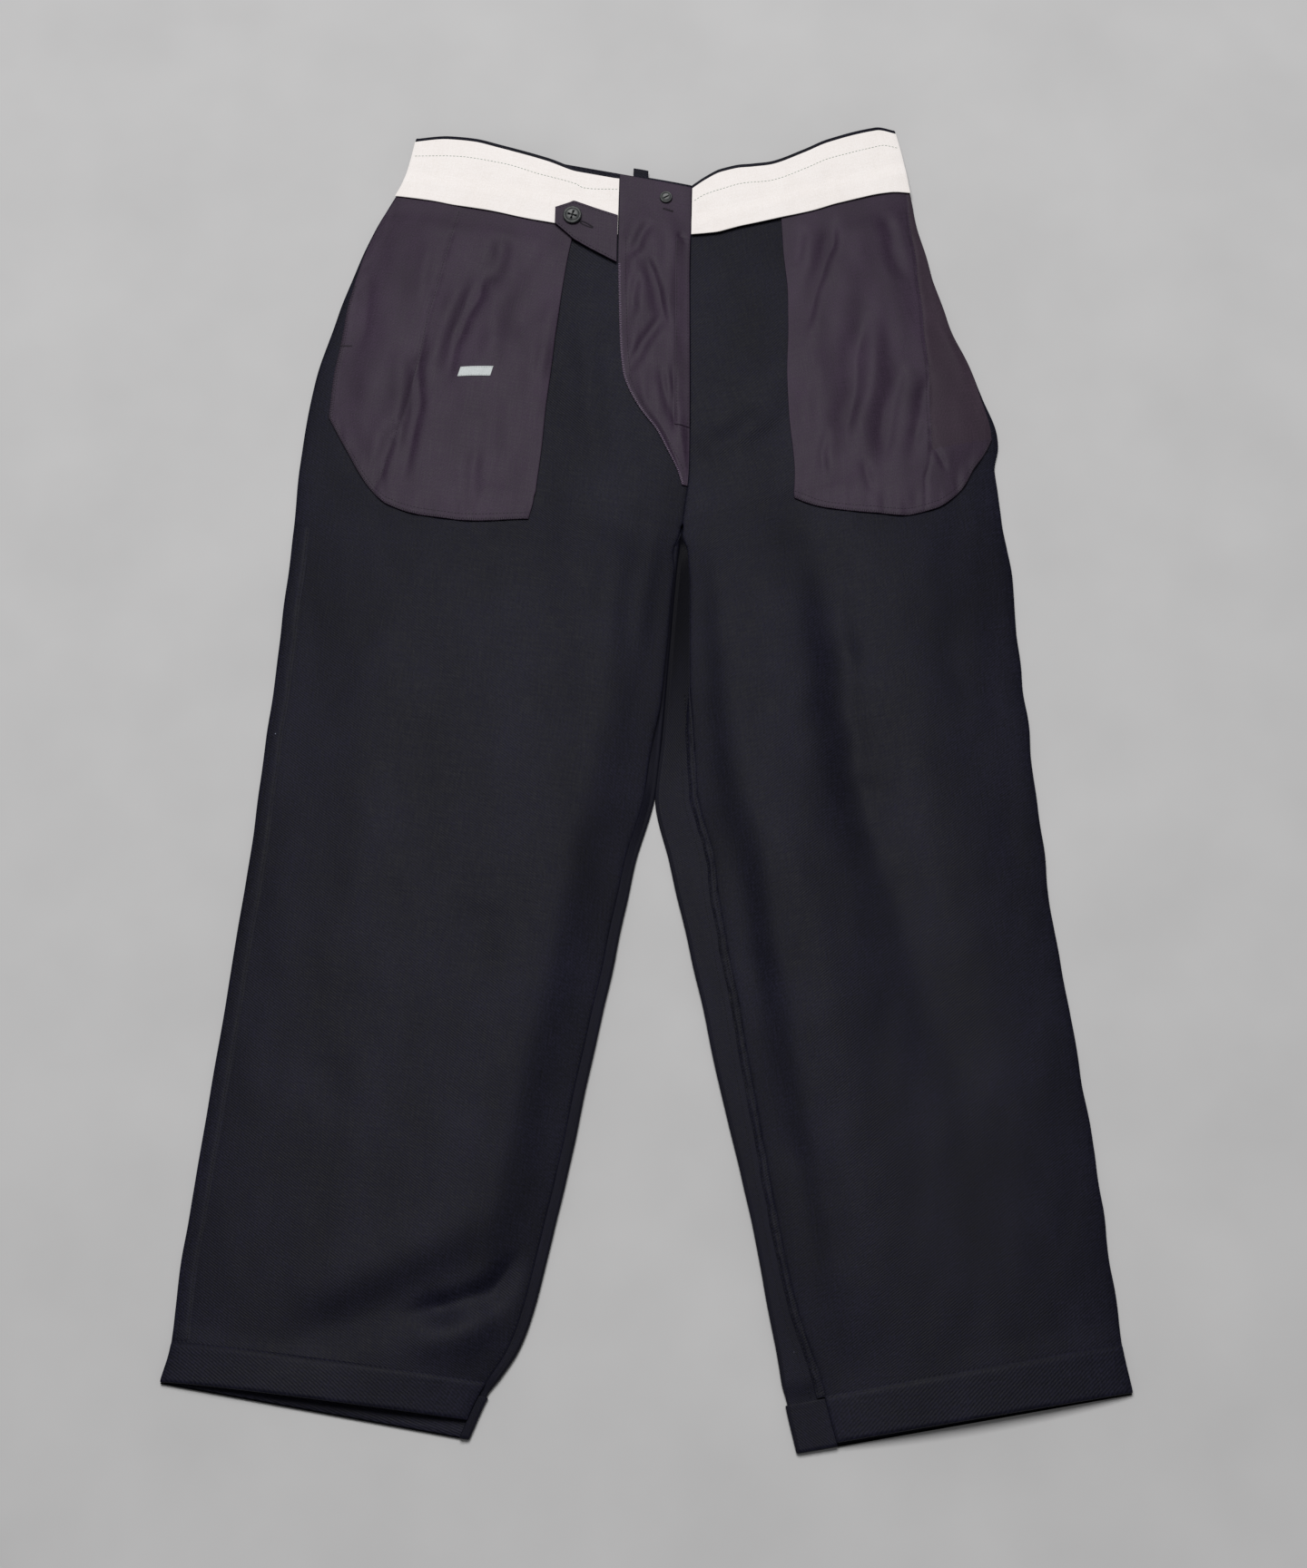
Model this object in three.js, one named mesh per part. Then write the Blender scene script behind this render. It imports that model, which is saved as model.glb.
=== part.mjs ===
import * as THREE from 'three';

// Wide leg chinos, turned inside out and laid flat with the fronts up.
// Millimetres. +Z up, +Y towards the waist, +X to the right as seen from above.
// The back panels lie on the surface at z = 0, the front panels lie over them, and each leg is a flat tube.
// Places on a panel are given as a pair: down, the distance along the leg from the waist edge, and
// across, 0 at the side seam and 1 at the front panel's other edge (centre front, then inseam).

// Cloth and seam sizes
const TWILL = 1.2;
const LINING = 1.0;
const SEAM_GAP = 0.3;
const LAY_GAP = 0.5;
const FOLD_RADIUS = 3;
const UNDERLAY = TWILL + SEAM_GAP;

// The front cloth rises from its edges as a power of a sine, steeper the smaller the power
const CREST = 0.7;

// Turns of the back cloth, in radians: over the first the front's edge moves in behind it, over the
// second its columns gather in the fold, and past the third it lies on top and climbs to the front
const TUCK_TURN = { from: 0.3, to: 0.9 };
const GATHER_TURN = { from: 0, to: 0.5 };
const OVER_TURN = 3;

// Lengths along the leg
const LEG_END = 1020;
const WAIST_SEAM = 42;
const CURTAIN_DEPTH = 57;
const HEM_DEPTH = 34;
const RAMP = 16;

// How far the front hem is drawn up all along and then more towards the inseam, by a power of the
// distance across, and the length of leg that follows it
const HEM_RISE = { left: 8, right: 1.5 };
const HEM_LIFT = 1;
const HEM_POWER = 1.5;
const HEM_DRAW = 120;

// Every long piece has a section at the same places down the leg: the end of each span, and its rows
const SPANS = [
  { to: CURTAIN_DEPTH + 1, rows: 1 },
  { to: CURTAIN_DEPTH + 1 + RAMP, rows: 1 },
  { to: 245, rows: 6 },
  { to: 350, rows: 6 },
  { to: LEG_END - HEM_DEPTH - 1 - RAMP, rows: 22 },
  { to: LEG_END - HEM_DEPTH - 1, rows: 1 },
  { to: LEG_END, rows: 2 },
];

// Plan of the garment, a row for each section: the side seam and the inner edge of each leg
const PLAN = [
  { down: 0, leftOut: [-187, 521], leftIn: [36, 478], rightIn: [36, 478], rightOut: [200, 528] },
  { down: 42, leftOut: [-197, 480], leftIn: [35, 436], rightIn: [35, 436], rightOut: [209, 487] },
  { down: 90, leftOut: [-219, 438], leftIn: [34, 388], rightIn: [34, 388], rightOut: [218, 440] },
  { down: 170, leftOut: [-247, 363], leftIn: [34, 308], rightIn: [34, 308], rightOut: [238, 363] },
  { down: 245, leftOut: [-266, 291], leftIn: [33, 233], rightIn: [33, 233], rightOut: [266, 293] },
  { down: 290, leftOut: [-272, 246], leftIn: [28, 188], rightIn: [28, 188], rightOut: [277, 252] },
  { down: 310, leftOut: [-274, 226], leftIn: [25, 168], rightIn: [25, 168], rightOut: [273, 231] },
  { down: 350, leftOut: [-276, 186], leftIn: [21, 129], rightIn: [21.6, 129], rightOut: [278, 190] },
  { down: 410, leftOut: [-281, 127], leftIn: [16, 69], rightIn: [16.8, 69], rightOut: [284, 131] },
  { down: 470, leftOut: [-286, 66], leftIn: [11, 9], rightIn: [12.4, 9], rightOut: [288, 71] },
  { down: 515, leftOut: [-291, 22], leftIn: [6, -36], rightIn: [9, -36], rightOut: [292, 26] },
  { down: 567, leftOut: [-296, -30], leftIn: [-8, -86], rightIn: [16.5, -86], rightOut: [296, -25] },
  { down: 611, leftOut: [-300, -74], leftIn: [-17, -129], rightIn: [26, -129], rightOut: [300, -69] },
  { down: 675, leftOut: [-308, -137], leftIn: [-30, -192], rightIn: [40, -192], rightOut: [306, -133] },
  { down: 740, leftOut: [-316, -202], leftIn: [-44, -255], rightIn: [53, -255], rightOut: [315, -197] },
  { down: 802, leftOut: [-324, -263], leftIn: [-56, -315], rightIn: [67, -315], rightOut: [324, -259] },
  { down: 865, leftOut: [-332, -326], leftIn: [-70, -377], rightIn: [80, -377], rightOut: [332, -321] },
  { down: 925, leftOut: [-340, -385], leftIn: [-85, -435], rightIn: [90, -434], rightOut: [338, -381] },
  { down: 945, leftOut: [-342, -405], leftIn: [-93, -454], rightIn: [94, -454], rightOut: [340, -401] },
  { down: 985, leftOut: [-345, -447], leftIn: [-114, -486], rightIn: [100, -492], rightOut: [345, -448] },
  { down: 1020, leftOut: [-352, -477], leftIn: [-128, -517], rightIn: [108, -527], rightOut: [351, -485] },
];

// Height of the garment, a row for each section.
// centre: underside of the front cloth at its inner edge; puff: how far it stands higher in the middle;
// turn: degrees that the back cloth curls up at the inner edge, 180 where it folds over onto the front;
// leftWrap, rightWrap: how far the back cloth then reaches over the top to meet the front at the inseam
const HEIGHTS = [
  { down: 0, centre: 9, puff: 3, turn: 0, leftWrap: 0, rightWrap: 0 },
  { down: 170, centre: 9, puff: 3.5, turn: 0, leftWrap: 0, rightWrap: 0 },
  { down: 245, centre: 8, puff: 5, turn: 0, leftWrap: 0, rightWrap: 0 },
  { down: 284, centre: 5.5, puff: 7, turn: 0, leftWrap: 0, rightWrap: 0 },
  { down: 308, centre: 3.8, puff: 8, turn: 90, leftWrap: 4.5, rightWrap: 4.5 },
  { down: 335, centre: 5, puff: 8.5, turn: 180, leftWrap: 5, rightWrap: 5 },
  { down: 350, centre: 5.2, puff: 8.5, turn: 180, leftWrap: 6.5, rightWrap: 8 },
  { down: 410, centre: 5.5, puff: 8.5, turn: 180, leftWrap: 8, rightWrap: 14 },
  { down: 470, centre: 5.8, puff: 8, turn: 180, leftWrap: 8, rightWrap: 24 },
  { down: 515, centre: 6, puff: 8, turn: 180, leftWrap: 8, rightWrap: 32 },
  { down: 567, centre: 6, puff: 8, turn: 180, leftWrap: 8, rightWrap: 33 },
  { down: 611, centre: 6, puff: 8, turn: 180, leftWrap: 8, rightWrap: 29 },
  { down: 740, centre: 6, puff: 8, turn: 180, leftWrap: 8, rightWrap: 24 },
  { down: 865, centre: 6, puff: 8, turn: 180, leftWrap: 8, rightWrap: 18 },
  { down: 925, centre: 6, puff: 8, turn: 180, leftWrap: 8, rightWrap: 21 },
  { down: 985, centre: 6, puff: 7.5, turn: 180, leftWrap: 7, rightWrap: 29 },
  { down: 1020, centre: 6, puff: 7, turn: 180, leftWrap: 7, rightWrap: 30 },
];

// Largest folds of the front panels: soft ridges (height above 0) and troughs (below 0)
const FOLDS = [
  { side: 'left', from: [0.78, 905], to: [0.5, 950], width: 22, height: -4 },
  { side: 'left', from: [0.8, 865], to: [0.55, 915], width: 24, height: 2.5 },
  { side: 'left', from: [0.72, 600], to: [0.62, 760], width: 34, height: -2 },
  { side: 'left', from: [0.35, 400], to: [0.3, 620], width: 40, height: 2 },
  { side: 'left', from: [0.7, 90], to: [0.74, 330], width: 26, height: -2.5 },
  { side: 'right', from: [0.62, 330], to: [0.4, 740], width: 26, height: -3.5 },
  { side: 'right', from: [0.9, 430], to: [0.72, 700], width: 28, height: 2.5 },
  { side: 'right', from: [0.97, 240], to: [0.7, 190], width: 24, height: 2.5 },
  { side: 'right', from: [0.92, 800], to: [0.9, 960], width: 20, height: -2.5 },
  { side: 'right', from: [0.25, 420], to: [0.2, 640], width: 36, height: 2 },
];

// Waist edge and lower edge of the front curtain, both as distances down
const CURTAIN_EDGE = {
  left: [
    { across: 0, top: 4, bottom: 57 },
    { across: 0.12, top: -2, bottom: 57 },
    { across: 0.21, top: -3, bottom: 58 },
    { across: 0.3, top: -1, bottom: 58 },
    { across: 0.48, top: 4, bottom: 60 },
    { across: 0.6, top: 9, bottom: 60 },
    { across: 0.72, top: 9, bottom: 60 },
    { across: 0.85, top: 6, bottom: 58 },
    { across: 1, top: 5.5, bottom: 56 },
  ],
  right: [
    { across: 0, top: 4, bottom: 60 },
    { across: 0.09, top: -2.5, bottom: 56 },
    { across: 0.18, top: -3, bottom: 55 },
    { across: 0.33, top: -2, bottom: 55 },
    { across: 0.45, top: 1.5, bottom: 56 },
    { across: 0.6, top: 4.5, bottom: 55 },
    { across: 0.7, top: 2, bottom: 54 },
    { across: 0.79, top: -1, bottom: 53 },
    { across: 0.86, top: -1.5, bottom: 53 },
    { across: 0.93, top: 1, bottom: 51 },
    { across: 1, top: 5.5, bottom: 48 },
  ],
};
const CURTAIN_DROP = 2.5;

// Distance above a pocket bag's top over which the curtain climbs onto it
const CURTAIN_CLIMB = { start: 14, end: 2 };

// Pocket bags: outer edge by depth, and lower edge from the side (0) to the inner edge (1)
const BAG_TOP = WAIST_SEAM + 3;
const BAG = {
  left: {
    outer: [
      { share: 0, across: 0.014 },
      { share: 0.4, across: 0.014 },
      { share: 0.75, across: 0.042 },
      { share: 1, across: 0.056 },
    ],
    inner: [
      { share: 0, across: 0.612 },
      { share: 1, across: 0.617 },
    ],
    bottom: [
      { share: 0, down: 258 },
      { share: 0.08, down: 277 },
      { share: 0.24, down: 311 },
      { share: 0.34, down: 323 },
      { share: 0.48, down: 327 },
      { share: 0.66, down: 326 },
      { share: 1, down: 314 },
    ],
  },
  right: {
    outer: [
      { share: 0, across: 0.012 },
      { share: 0.7, across: 0.012 },
      { share: 1, across: 0.03 },
    ],
    inner: [
      { share: 0, across: 0.588 },
      { share: 0.25, across: 0.59 },
      { share: 0.75, across: 0.654 },
      { share: 1, across: 0.65 },
    ],
    bottom: [
      { share: 0, down: 284 },
      { share: 0.06, down: 302 },
      { share: 0.16, down: 322 },
      { share: 0.3, down: 332 },
      { share: 0.42, down: 333 },
      { share: 0.6, down: 325 },
      { share: 0.82, down: 312 },
      { share: 1, down: 295 },
    ],
  },
};

// Fly shield: width left of the centre front line
const SHIELD = [
  { down: 6, width: 58.6 },
  { down: 85, width: 58 },
  { down: 150, width: 56.5 },
  { down: 177, width: 54 },
  { down: 190, width: 49.5 },
  { down: 206, width: 39.5 },
  { down: 220, width: 27 },
  { down: 235, width: 18 },
  { down: 250, width: 9.5 },
  { down: 262, width: 4.5 },
];
const FACING = { width: 12, top: 52, bottom: 214 };

// Pointed tab: reach left of centre front, with its upper and lower edges
const TAB = [
  { reach: 59.4, top: 43.6, bottom: 84.2 },
  { reach: 91, top: 38.5, bottom: 72.4 },
  { reach: 95.1, top: 37.9, bottom: 70.7 },
  { reach: 99, top: 40, bottom: 68 },
  { reach: 110.4, top: 46.2, bottom: 60.4 },
];

// Blank woven label on the left bag, as reach left of centre front and distance down
const LABEL = { near: 159, far: 187, downNear: 191.5, downFar: 196.5, depth: 9 };

const TAB_BUTTON = { side: 'left', down: 51.4, reach: 96.3, radius: 7.5, thick: 2.6 };
const FLY_BUTTON = { side: 'left', down: 19.5, reach: 20.7, radius: 5, thick: 2.2 };

const BUTTON_SIDES = 16;

// Half section of both buttons, as shares of the radius and the thickness
const BUTTON_PROFILE = [
  { out: 0, up: 0 },
  { out: 0.72, up: 0 },
  { out: 1, up: 0.4 },
  { out: 1, up: 0.8 },
  { out: 0.88, up: 1 },
  { out: 0.7, up: 0.72 },
  { out: 0, up: 0.72 },
];

// Loop on the inside of the back waistband, bowed away from it in the middle
const BELT_LOOP = { reach: 42, width: 12, top: -6, bottom: 40, thick: 2, bow: 0.8 };

// Seam allowances that show, each from a numbered section down to the hem, between two distances
// from the seam
const SIDE_ALLOWANCE = { near: 0.4, far: 13, station: 14 };
const INSEAM_ALLOWANCE = { near: 0.2, far: 5.5, station: 17 };

// Lifts of the layers above the top of the front cloth
const BAG_LIFT = 0.7;
const LABEL_LIFT = BAG_LIFT + LINING + LAY_GAP;
const SHIELD_LIFT = LAY_GAP;
const FACING_LIFT = SHIELD_LIFT + LINING + LAY_GAP;
const CURTAIN_LIFT = LAY_GAP;
const CURTAIN_OVER_BAG = BAG_LIFT + LINING + LAY_GAP;

// The tab lies over the curtain and droops past its lower edge
const TAB_LIFT = CURTAIN_OVER_BAG + LINING + LAY_GAP;
const TAB_DROOP = { height: 1.4, start: CURTAIN_DEPTH + 4, end: CURTAIN_DEPTH + 26 };

const COLOURS = {
  twill: 0x20212a,
  sateen: 0x453a4c,
  curtain: 0xece6e0,
  label: 0xd9d9dc,
  button: 0x4b4d49,
};

const garment = new THREE.Group();

function mix(a, b, t) {
  return a + (b - a) * t;
}

function smooth(from, to, x) {
  const t = Math.min(Math.max((x - from) / (to - from), 0), 1);
  return t * t * (3 - 2 * t);
}

// A smooth curve through a table's rows that never overshoots them; beyond the ends it runs on straight
function track(rows, key, read) {
  const xs = rows.map((row) => row[key]);
  const ys = rows.map(read);
  const last = xs.length - 1;
  const rises = xs.slice(1).map((x, i) => (ys[i + 1] - ys[i]) / (x - xs[i]));
  const slopes = xs.map((x, i) => {
    if (i === 0) return rises[0];
    if (i === last) return rises[last - 1];
    const before = rises[i - 1];
    const after = rises[i];
    return before * after > 0 ? (2 * before * after) / (before + after) : 0;
  });
  return (x) => {
    if (x <= xs[0]) return ys[0] + slopes[0] * (x - xs[0]);
    if (x >= xs[last]) return ys[last] + slopes[last] * (x - xs[last]);
    let i = 0;
    while (xs[i + 1] < x) i += 1;
    const step = xs[i + 1] - xs[i];
    const t = (x - xs[i]) / step;
    const bend = t * (1 - t) * step;
    const level = mix(ys[i], ys[i + 1], t * t * (3 - 2 * t));
    return level + bend * ((1 - t) * slopes[i] - t * slopes[i + 1]);
  };
}

const planTrack = (column) => [0, 1].map((axis) => track(PLAN, 'down', (row) => row[column][axis]));
const heightTrack = (column) => track(HEIGHTS, 'down', (row) => row[column]);

const EDGES = {
  left: { out: planTrack('leftOut'), in: planTrack('leftIn') },
  right: { out: planTrack('rightOut'), in: planTrack('rightIn') },
};
const WRAP = { left: heightTrack('leftWrap'), right: heightTrack('rightWrap') };
const centreAt = heightTrack('centre');
const puffAt = heightTrack('puff');
const turnAt = heightTrack('turn');

// One section across a leg: its outer point, the direction towards the inner edge, and its width
function section(side, down) {
  const outer = EDGES[side].out.map((curve) => curve(down));
  const inner = EDGES[side].in.map((curve) => curve(down));
  const width = Math.hypot(inner[0] - outer[0], inner[1] - outer[1]);
  const along = [(inner[0] - outer[0]) / width, (inner[1] - outer[1]) / width];
  const turn = THREE.MathUtils.degToRad(Math.min(turnAt(down), 180));
  const wrap = Math.max(WRAP[side](down) - FOLD_RADIUS, 0) * smooth(0, Math.PI / 2, turn);
  return { outer, along, width, turn, wrap };
}

function place(part, distance, height) {
  const { outer, along } = part;
  return [outer[0] + along[0] * distance, outer[1] + along[1] * distance, height];
}

// How far the back cloth is lifted by what lies under it: the curtain at the waist, the hem at the end
function backLift(down) {
  const overCurtain = 1 - smooth(CURTAIN_DEPTH + 1, CURTAIN_DEPTH + 1 + RAMP, down);
  const overHem = smooth(LEG_END - HEM_DEPTH - 1 - RAMP, LEG_END - HEM_DEPTH - 1, down);
  return UNDERLAY * Math.max(overCurtain, overHem);
}

// Distance from the side seam to the front panel's inner edge
function frontReach(side, down) {
  const { width, turn, wrap } = section(side, down);
  if (turn <= Math.PI / 2) {
    return width - mix(SEAM_GAP / 2, TWILL + SEAM_GAP, smooth(TUCK_TURN.from, TUCK_TURN.to, turn));
  }
  const innerFace = FOLD_RADIUS - (FOLD_RADIUS - TWILL) * Math.sin(turn) - wrap * Math.cos(turn);
  return width - innerFace - LAY_GAP;
}

function foldHeight(side, across, down, reach) {
  let height = 0;
  for (const fold of FOLDS) {
    if (fold.side !== side) continue;
    const run = [(fold.to[0] - fold.from[0]) * reach, fold.to[1] - fold.from[1]];
    const here = [(across - fold.from[0]) * reach, down - fold.from[1]];
    const length = Math.hypot(run[0], run[1]);
    const t = (here[0] * run[0] + here[1] * run[1]) / length;
    const off = (here[0] * run[1] - here[1] * run[0]) / length;
    const past = Math.max(-t, t - length, 0);
    height += fold.height * Math.exp(-((off / fold.width) ** 2) - (past / (2 * fold.width)) ** 2);
  }
  return height * Math.sin(Math.PI * Math.min(Math.max(across, 0), 1));
}

// Underside of the front cloth, raised by a lift
function frontPoint(side, across, down, lift) {
  const part = section(side, down);
  const reach = frontReach(side, down);
  const share = Math.min(Math.max(across, 0), 1);
  const edge = TWILL + SEAM_GAP + backLift(down);
  const ramp = (centreAt(down) - edge) * Math.sin((Math.PI * share) / 2) ** CREST;
  const dome = puffAt(down) * Math.sin(Math.PI * share) ** CREST;
  const height = edge + ramp + dome + foldHeight(side, across, down, reach) + lift;
  return place(part, across * reach, height);
}

const FRONT_COLUMNS = 13;
const COLUMNS = { flat: 5, arc: 4, wrap: 2 };
const BACK_COLUMNS = COLUMNS.flat + COLUMNS.arc + COLUMNS.wrap;

// The back cloth runs along the surface, curls up round the inner edge and back over the top.
// The column is a whole number or a share of one, and inset is the distance inwards from the outer face.
function backPoint(side, column, down, inset) {
  const part = section(side, down);
  const flat = part.width - SEAM_GAP / 2 - FOLD_RADIUS * Math.sin(Math.min(part.turn, Math.PI / 2));
  const arc = FOLD_RADIUS * part.turn;
  const total = flat + arc + part.wrap;
  const stretch = (from, count, length) => length * Math.min(Math.max((column - from) / count, 0), 1);
  const folded = stretch(0, COLUMNS.flat, flat)
    + stretch(COLUMNS.flat, COLUMNS.arc, arc)
    + stretch(COLUMNS.flat + COLUMNS.arc, COLUMNS.wrap, part.wrap);
  const even = (total * column) / BACK_COLUMNS;
  const run = mix(even, folded, smooth(GATHER_TURN.from, GATHER_TURN.to, part.turn));
  if (run <= flat) return place(part, run, inset);
  const angle = Math.min((run - flat) / FOLD_RADIUS, part.turn);
  const radius = FOLD_RADIUS - inset;
  const over = Math.max(run - flat - arc, 0);
  const climb = centreAt(down) + TWILL - 2 * FOLD_RADIUS;
  const rise = part.turn > OVER_TURN ? (climb * over) / part.wrap : 0;
  const distance = flat + radius * Math.sin(angle) + over * Math.cos(angle);
  return place(part, distance, FOLD_RADIUS - radius * Math.cos(angle) + over * Math.sin(angle) + rise);
}

// A closed wall of cloth between an under face and an over face, both given for shares u and v
function cloth(name, colour, columns, rows, under, over) {
  const positions = [];
  const indices = [];
  const vertex = (layer, i, j) => (layer * (rows + 1) + j) * (columns + 1) + i;
  for (const face of [under, over]) {
    for (let j = 0; j <= rows; j += 1) {
      for (let i = 0; i <= columns; i += 1) {
        positions.push(...face(i / columns, j / rows));
      }
    }
  }
  const quad = (a, b, c, d) => indices.push(a, b, c, a, c, d);
  for (let j = 0; j < rows; j += 1) {
    for (let i = 0; i < columns; i += 1) {
      quad(vertex(1, i, j), vertex(1, i, j + 1), vertex(1, i + 1, j + 1), vertex(1, i + 1, j));
      quad(vertex(0, i, j), vertex(0, i + 1, j), vertex(0, i + 1, j + 1), vertex(0, i, j + 1));
    }
  }
  for (let i = 0; i < columns; i += 1) {
    quad(vertex(0, i, 0), vertex(1, i, 0), vertex(1, i + 1, 0), vertex(0, i + 1, 0));
    quad(vertex(0, i, rows), vertex(0, i + 1, rows), vertex(1, i + 1, rows), vertex(1, i, rows));
  }
  for (let j = 0; j < rows; j += 1) {
    quad(vertex(0, 0, j), vertex(0, 0, j + 1), vertex(1, 0, j + 1), vertex(1, 0, j));
    quad(vertex(0, columns, j), vertex(1, columns, j), vertex(1, columns, j + 1), vertex(0, columns, j + 1));
  }
  addMesh(name, colour, positions, facingOut(positions, indices));
}

// Turns the triangles round where the closed mesh is inside out
function facingOut(positions, indices) {
  const point = (i) => new THREE.Vector3().fromArray(positions, i * 3);
  let volume = 0;
  for (let i = 0; i < indices.length; i += 3) {
    const [a, b, c] = [0, 1, 2].map((k) => point(indices[i + k]));
    volume += a.dot(b.cross(c));
  }
  return volume < 0 ? [...indices].reverse() : indices;
}

function addMesh(name, colour, positions, indices) {
  const geometry = new THREE.BufferGeometry();
  geometry.setAttribute('position', new THREE.Float32BufferAttribute(positions, 3));
  geometry.setIndex(indices);
  geometry.computeVertexNormals();
  garment.add(new THREE.Mesh(geometry, material(colour)));
  garment.children.at(-1).name = name;
}

function material(colour) {
  return new THREE.MeshStandardMaterial({ color: colour, roughness: 0.85, metalness: 0 });
}

// A wall that lies on a front panel: spot gives the place for shares u and v, lift its height over the cloth
function onFront(name, colour, side, columns, rows, thickness, spot, lift) {
  const face = (raise) => (u, v) => {
    const { across, down } = spot(u, v);
    return frontPoint(side, across, down, TWILL + lift(across, down) + raise);
  };
  cloth(name, colour, columns, rows, face(0), face(thickness));
}

const edgeTrack = (side, column) => track(CURTAIN_EDGE[side], 'across', (row) => row[column]);

// Columns of the front stand closer at its two edges, where it bends more
const edgeward = (u) => mix(u, (1 - Math.cos(Math.PI * u)) / 2, 0.5);

// Place across a panel of a point at a given distance from its inner edge
const acrossFromReach = (side, reach, down) => 1 - reach / frontReach(side, down);

// The front cloth near the hem, drawn up the leg towards the inseam
function drawnUp(side, across, down) {
  const rise = HEM_RISE[side] * Math.max(across, 0) ** HEM_POWER + HEM_LIFT;
  return down - rise * smooth(LEG_END - HEM_DRAW, LEG_END, down);
}

// Distance down of a section from a share of all the rows between two of them
const STATIONS = SPANS.reduce((list, span) => {
  const from = list.at(-1);
  const steps = Array.from({ length: span.rows }, (_, i) => mix(from, span.to, (i + 1) / span.rows));
  return [...list, ...steps];
}, [WAIST_SEAM + SEAM_GAP / 2]);

function stationAt(first, last, v) {
  const index = mix(first, last, v);
  const below = Math.min(Math.floor(index), STATIONS.length - 2);
  return mix(STATIONS[below], STATIONS[below + 1], index - below);
}

const LAST_STATION = STATIONS.length - 1;
const HEM_STATION = LAST_STATION - SPANS.at(-1).rows;

function addFront(side) {
  const face = (lift) => (u, v) => {
    const across = edgeward(u);
    return frontPoint(side, across, drawnUp(side, across, stationAt(0, LAST_STATION, v)), lift);
  };
  cloth(`front_${side}`, COLOURS.twill, FRONT_COLUMNS, LAST_STATION, face(0), face(TWILL));
}

function addBack(side) {
  const face = (inset) => (u, v) => {
    const down = stationAt(0, LAST_STATION, v);
    return backPoint(side, u * BACK_COLUMNS, down, backLift(down) + inset);
  };
  cloth(`back_${side}`, COLOURS.twill, BACK_COLUMNS, LAST_STATION, face(0), face(TWILL));
}

function addFrontWaistband(side) {
  const top = edgeTrack(side, 'top');
  const face = (lift) => (u, v) => {
    const down = mix(top(u) - CURTAIN_DROP, WAIST_SEAM - SEAM_GAP / 2, v);
    return frontPoint(side, u, down, lift);
  };
  cloth(`waistband_front_${side}`, COLOURS.twill, 16, 3, face(0), face(TWILL));
}

// The back waistband and curtain cross both sides; u runs from the left side seam to the right one
function addAcrossBack(name, colour, top, bottom, inset, thickness) {
  const face = (lift) => (u, v) => {
    const side = u <= 0.5 ? 'left' : 'right';
    const share = u <= 0.5 ? 2 * u : 2 - 2 * u;
    const down = mix(top, bottom, v);
    const part = section(side, down);
    return place(part, share * part.width, inset + lift);
  };
  cloth(name, colour, 8, 1, face(0), face(thickness));
}

function addFrontCurtain(side) {
  const top = edgeTrack(side, 'top');
  const bottom = edgeTrack(side, 'bottom');
  const endReach = side === 'left' ? SHIELD[0].width + LAY_GAP : SEAM_GAP;
  const spot = (u, v) => {
    const shareAcross = u * acrossFromReach(side, endReach, CURTAIN_DEPTH / 2);
    const down = mix(top(shareAcross), bottom(shareAcross), v);
    return { across: u * acrossFromReach(side, endReach, down), down };
  };
  const lift = (across, down) => {
    const climbed = smooth(BAG_TOP - CURTAIN_CLIMB.start, BAG_TOP - CURTAIN_CLIMB.end, down);
    return mix(CURTAIN_LIFT, CURTAIN_OVER_BAG, climbed);
  };
  onFront(`curtain_front_${side}`, COLOURS.curtain, side, 16, 5, LINING, spot, lift);
}

function addPocketBag(side) {
  const { outer, inner, bottom } = BAG[side];
  const outerAt = track(outer, 'share', (row) => row.across);
  const innerAt = track(inner, 'share', (row) => row.across);
  const bottomAt = track(bottom, 'share', (row) => row.down);
  const spot = (u, v) => ({
    across: mix(outerAt(v), innerAt(v), u),
    down: mix(BAG_TOP, bottomAt(u), v),
  });
  onFront(`pocket_bag_${side}`, COLOURS.sateen, side, 11, 11, LINING, spot, () => BAG_LIFT);
}

function addLabel() {
  const spot = (u, v) => {
    const down = mix(LABEL.downNear, LABEL.downFar, u) + LABEL.depth * v;
    return { across: acrossFromReach('left', mix(LABEL.near, LABEL.far, u), down), down };
  };
  onFront('pocket_label', COLOURS.label, 'left', 3, 1, LINING, spot, () => LABEL_LIFT);
}

function addShield() {
  const widthAt = track(SHIELD, 'down', (row) => row.width);
  const first = SHIELD[0].down;
  const last = SHIELD.at(-1).down;
  const spot = (u, v) => {
    const down = mix(first, last, v);
    return { across: acrossFromReach('left', mix(SEAM_GAP, widthAt(down), u), down), down };
  };
  onFront('fly_shield', COLOURS.sateen, 'left', 4, 18, LINING, spot, () => SHIELD_LIFT);
}

function addFacing() {
  const spot = (u, v) => {
    const down = mix(FACING.top, FACING.bottom, v);
    return { across: acrossFromReach('left', mix(SEAM_GAP, FACING.width, u), down), down };
  };
  onFront('fly_facing', COLOURS.sateen, 'left', 1, 9, LINING, spot, () => FACING_LIFT);
}

function tabLift(across, down) {
  return TAB_LIFT - TAB_DROOP.height * smooth(TAB_DROOP.start, TAB_DROOP.end, down);
}

function addTab() {
  const topAt = track(TAB, 'reach', (row) => row.top);
  const bottomAt = track(TAB, 'reach', (row) => row.bottom);
  const spot = (u, v) => {
    const reach = mix(TAB[0].reach, TAB.at(-1).reach, u);
    const down = mix(topAt(reach), bottomAt(reach), v);
    return { across: acrossFromReach('left', reach, down), down };
  };
  onFront('waist_tab', COLOURS.sateen, 'left', 10, 4, LINING, spot, tabLift);
}

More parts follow.
